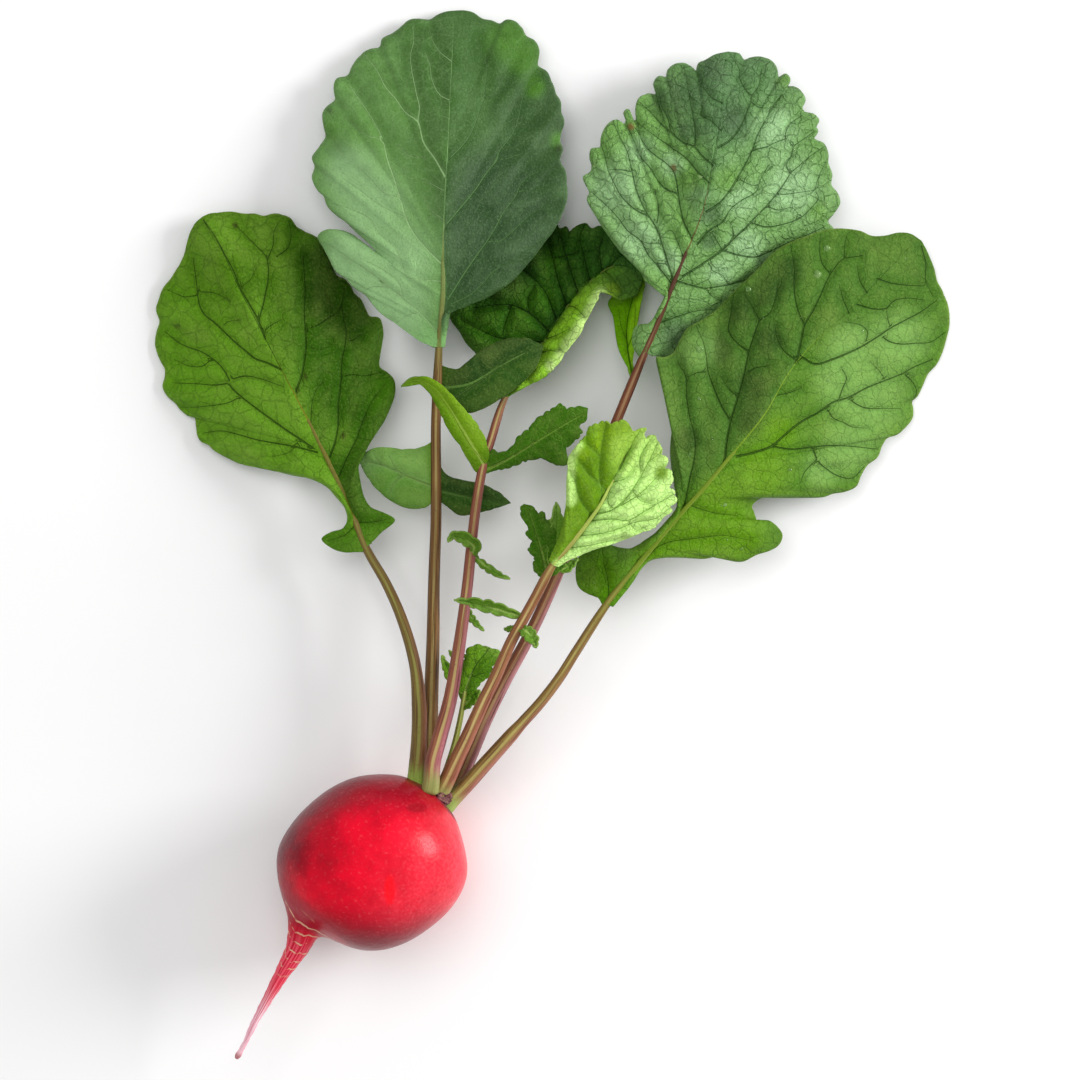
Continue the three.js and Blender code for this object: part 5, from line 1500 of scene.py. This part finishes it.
# The heart leaf: the smallest, still curled in the middle of the tuft, with crisp leaflets on
# a thin stalk.
HEART_STALK = [
    [432, 801, 14.8], [441, 784, 14.9], [453, 750, 15.8], [461, 715, 16.4], [465, 690, 16.8],
]
HEART_LEAFLETS = [
    dict(rib=[[462, 708, 16.2], [470, 700, 16.8], [480, 690, 16.8]], half=1.5, roll=0.5),
    dict(
        rib=[[464, 694, 16.7], [452, 678, 16.8], [445, 663, 16.3], [442, 655, 16]],
        half=1.2,
        roll=-0.3,
    ),
    dict(rib=[[465, 688, 16.7], [458, 666, 16.4], [449, 650, 15.8]], half=1, roll=0.3),
]
HEART_BLADE = dict(
    rib=[[464, 700, 16.8], [468, 682, 17.4], [477, 664, 17.8], [489, 650, 17.4]],
    left=[[462, 702, 16.8, 0], [458, 690], [460, 676, 17, 0.3], [462, 662], [466, 650, 17.2, 0.7],
          [476, 644], [489, 647, 17.2, 1]],
    right=[[466, 700, 16.8, 0], [475, 692], [482, 682, 17.2, 0.35], [490, 676],
           [495, 664, 17.4, 0.7], [501, 653, 17, 0.9], [489, 647, 17.2, 1]],
    veins=[[0.7, (465, 696), (469, 680), (477, 664), (488, 650)],
           [0.5, (469, 680), (464, 668), (466, 656)],
           [0.5, (470, 678), (480, 674), (490, 670)],
           [0.5, (476, 665), (474, 655), (476, 647)]],
)

heart_skin = leaf_finish(
    "heart_leaflet_skin", left=colour(108, 158, 30), right=colour(82, 132, 18),
    foot=colour(80, 124, 20), tip=colour(128, 170, 62), vein=colour(60, 100, 30),
    midrib=colour(140, 170, 80), net=0.3, net_size=1.4, rib_width=0.15, mottle=0.6)
heart_pieces = [leaflet("heart_leaflet", **sizes) for sizes in HEART_LEAFLETS]
heart_pieces.append(lobe("heart_blade", notch=(9, 0.6), crinkle=0.3, **HEART_BLADE))
heart_leaflets = joined("heart_leaflets", heart_pieces)
dress(heart_leaflets, heart_skin, "heart_leaf")
heart_along = np.linspace(0, 1, 90)
heart_radius = np.interp(heart_along, [0, 0.01, 0.99, 1], [0.05, 0.85, 0.5, 0.05])
heart_line = Line(place(HEART_STALK))
heart_stalk = rolled_rod("heart_stalk", heart_line, heart_along,
                         np.repeat(heart_radius[:, None], STALK_AROUND + 1, axis=1) * MM)
dress(heart_stalk, stalk_finish(
    "heart_stalk_skin", flank=colour(110, 100, 40), ridge=colour(136, 146, 60),
    groove=colour(176, 184, 100), foot=colour(152, 168, 84), rib=colour(110, 140, 44), neck=22),
    "heart_leaf")


# The dew: small clear drops that lie on the crinkled leaf and the right leaf. A drop is picture
# x and y and its radius in mm, and between these lie finer ones at random.
CRINKLED_DROPS = [
    (596, 165, 0.5), (700, 178, 0.55), (692, 186, 0.3), (765, 192, 0.5), (758, 213, 0.35),
    (748, 243, 0.4), (655, 258, 0.3), (812, 160, 0.4), (824, 205, 0.6), (795, 150, 0.3),
    (640, 205, 0.3),
]
RIGHT_DROPS = [
    (826, 248, 0.75), (818, 274, 0.9), (699, 348, 0.9), (748, 290, 0.6), (862, 330, 0.4),
    (700, 400, 0.35), (725, 505, 0.5), (742, 548, 0.35), (828, 380, 0.35), (790, 470, 0.4),
    (690, 455, 0.3),
]
DROP_FLATNESS = 0.55

dew_skin = Finish("dew", roughness=0.05, specular_ior_level=0.8, alpha=0.42)
dew_clouds = dew_skin.noise(0.0006, 2).fade(0.3, 0.7)
dew_skin.wear("Base Color", dew_skin.mix(dew_clouds, colour(90, 140, 60), colour(170, 206, 130)))


def dewy(name, leaf, named, count, seed):
    """Flattened drops on a leaf, at named picture points with a radius in mm and at random ones."""
    chance = np.random.default_rng(seed)
    size = len(leaf.data.vertices)
    spots = np.empty(size * 3)
    facing = np.empty(size * 3)
    leaf.data.vertices.foreach_get("co", spots)
    leaf.data.vertices.foreach_get("normal", facing)
    top = spots.reshape(-1, 3)[facing[2::3] > 0.5]
    picture = seen(top)
    drops = [(top[((picture - (x, y)) ** 2).sum(axis=1).argmin()], radius)
             for x, y, radius in named]
    drops += [(top[pick], 0.1 + 0.16 * chance.random() ** 2)
              for pick in chance.choice(len(top), count)]
    pieces = []
    for spot, radius in drops:
        bpy.ops.object.select_all(action="DESELECT")
        bpy.ops.mesh.primitive_ico_sphere_add(subdivisions=3, radius=1)
        drop = bpy.context.object
        for vertex in drop.data.vertices:
            x, y, z = vertex.co
            swell = radius * MM * (1 + 0.12 * math.sin(2 * x + 3 * y))
            flat = swell * DROP_FLATNESS
            vertex.co = (spot[0] + swell * x, spot[1] + swell * y, spot[2] + flat * z)
        bpy.ops.object.shade_smooth()
        pieces.append(drop)
    dew = joined(name, pieces)
    dew.data.materials.append(dew_skin.material)
    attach(dew, "root")


dewy("crinkled_dew", crinkled_blade, CRINKLED_DROPS, 34, 5)
dewy("right_dew", right_blade, RIGHT_DROPS, 40, 8)
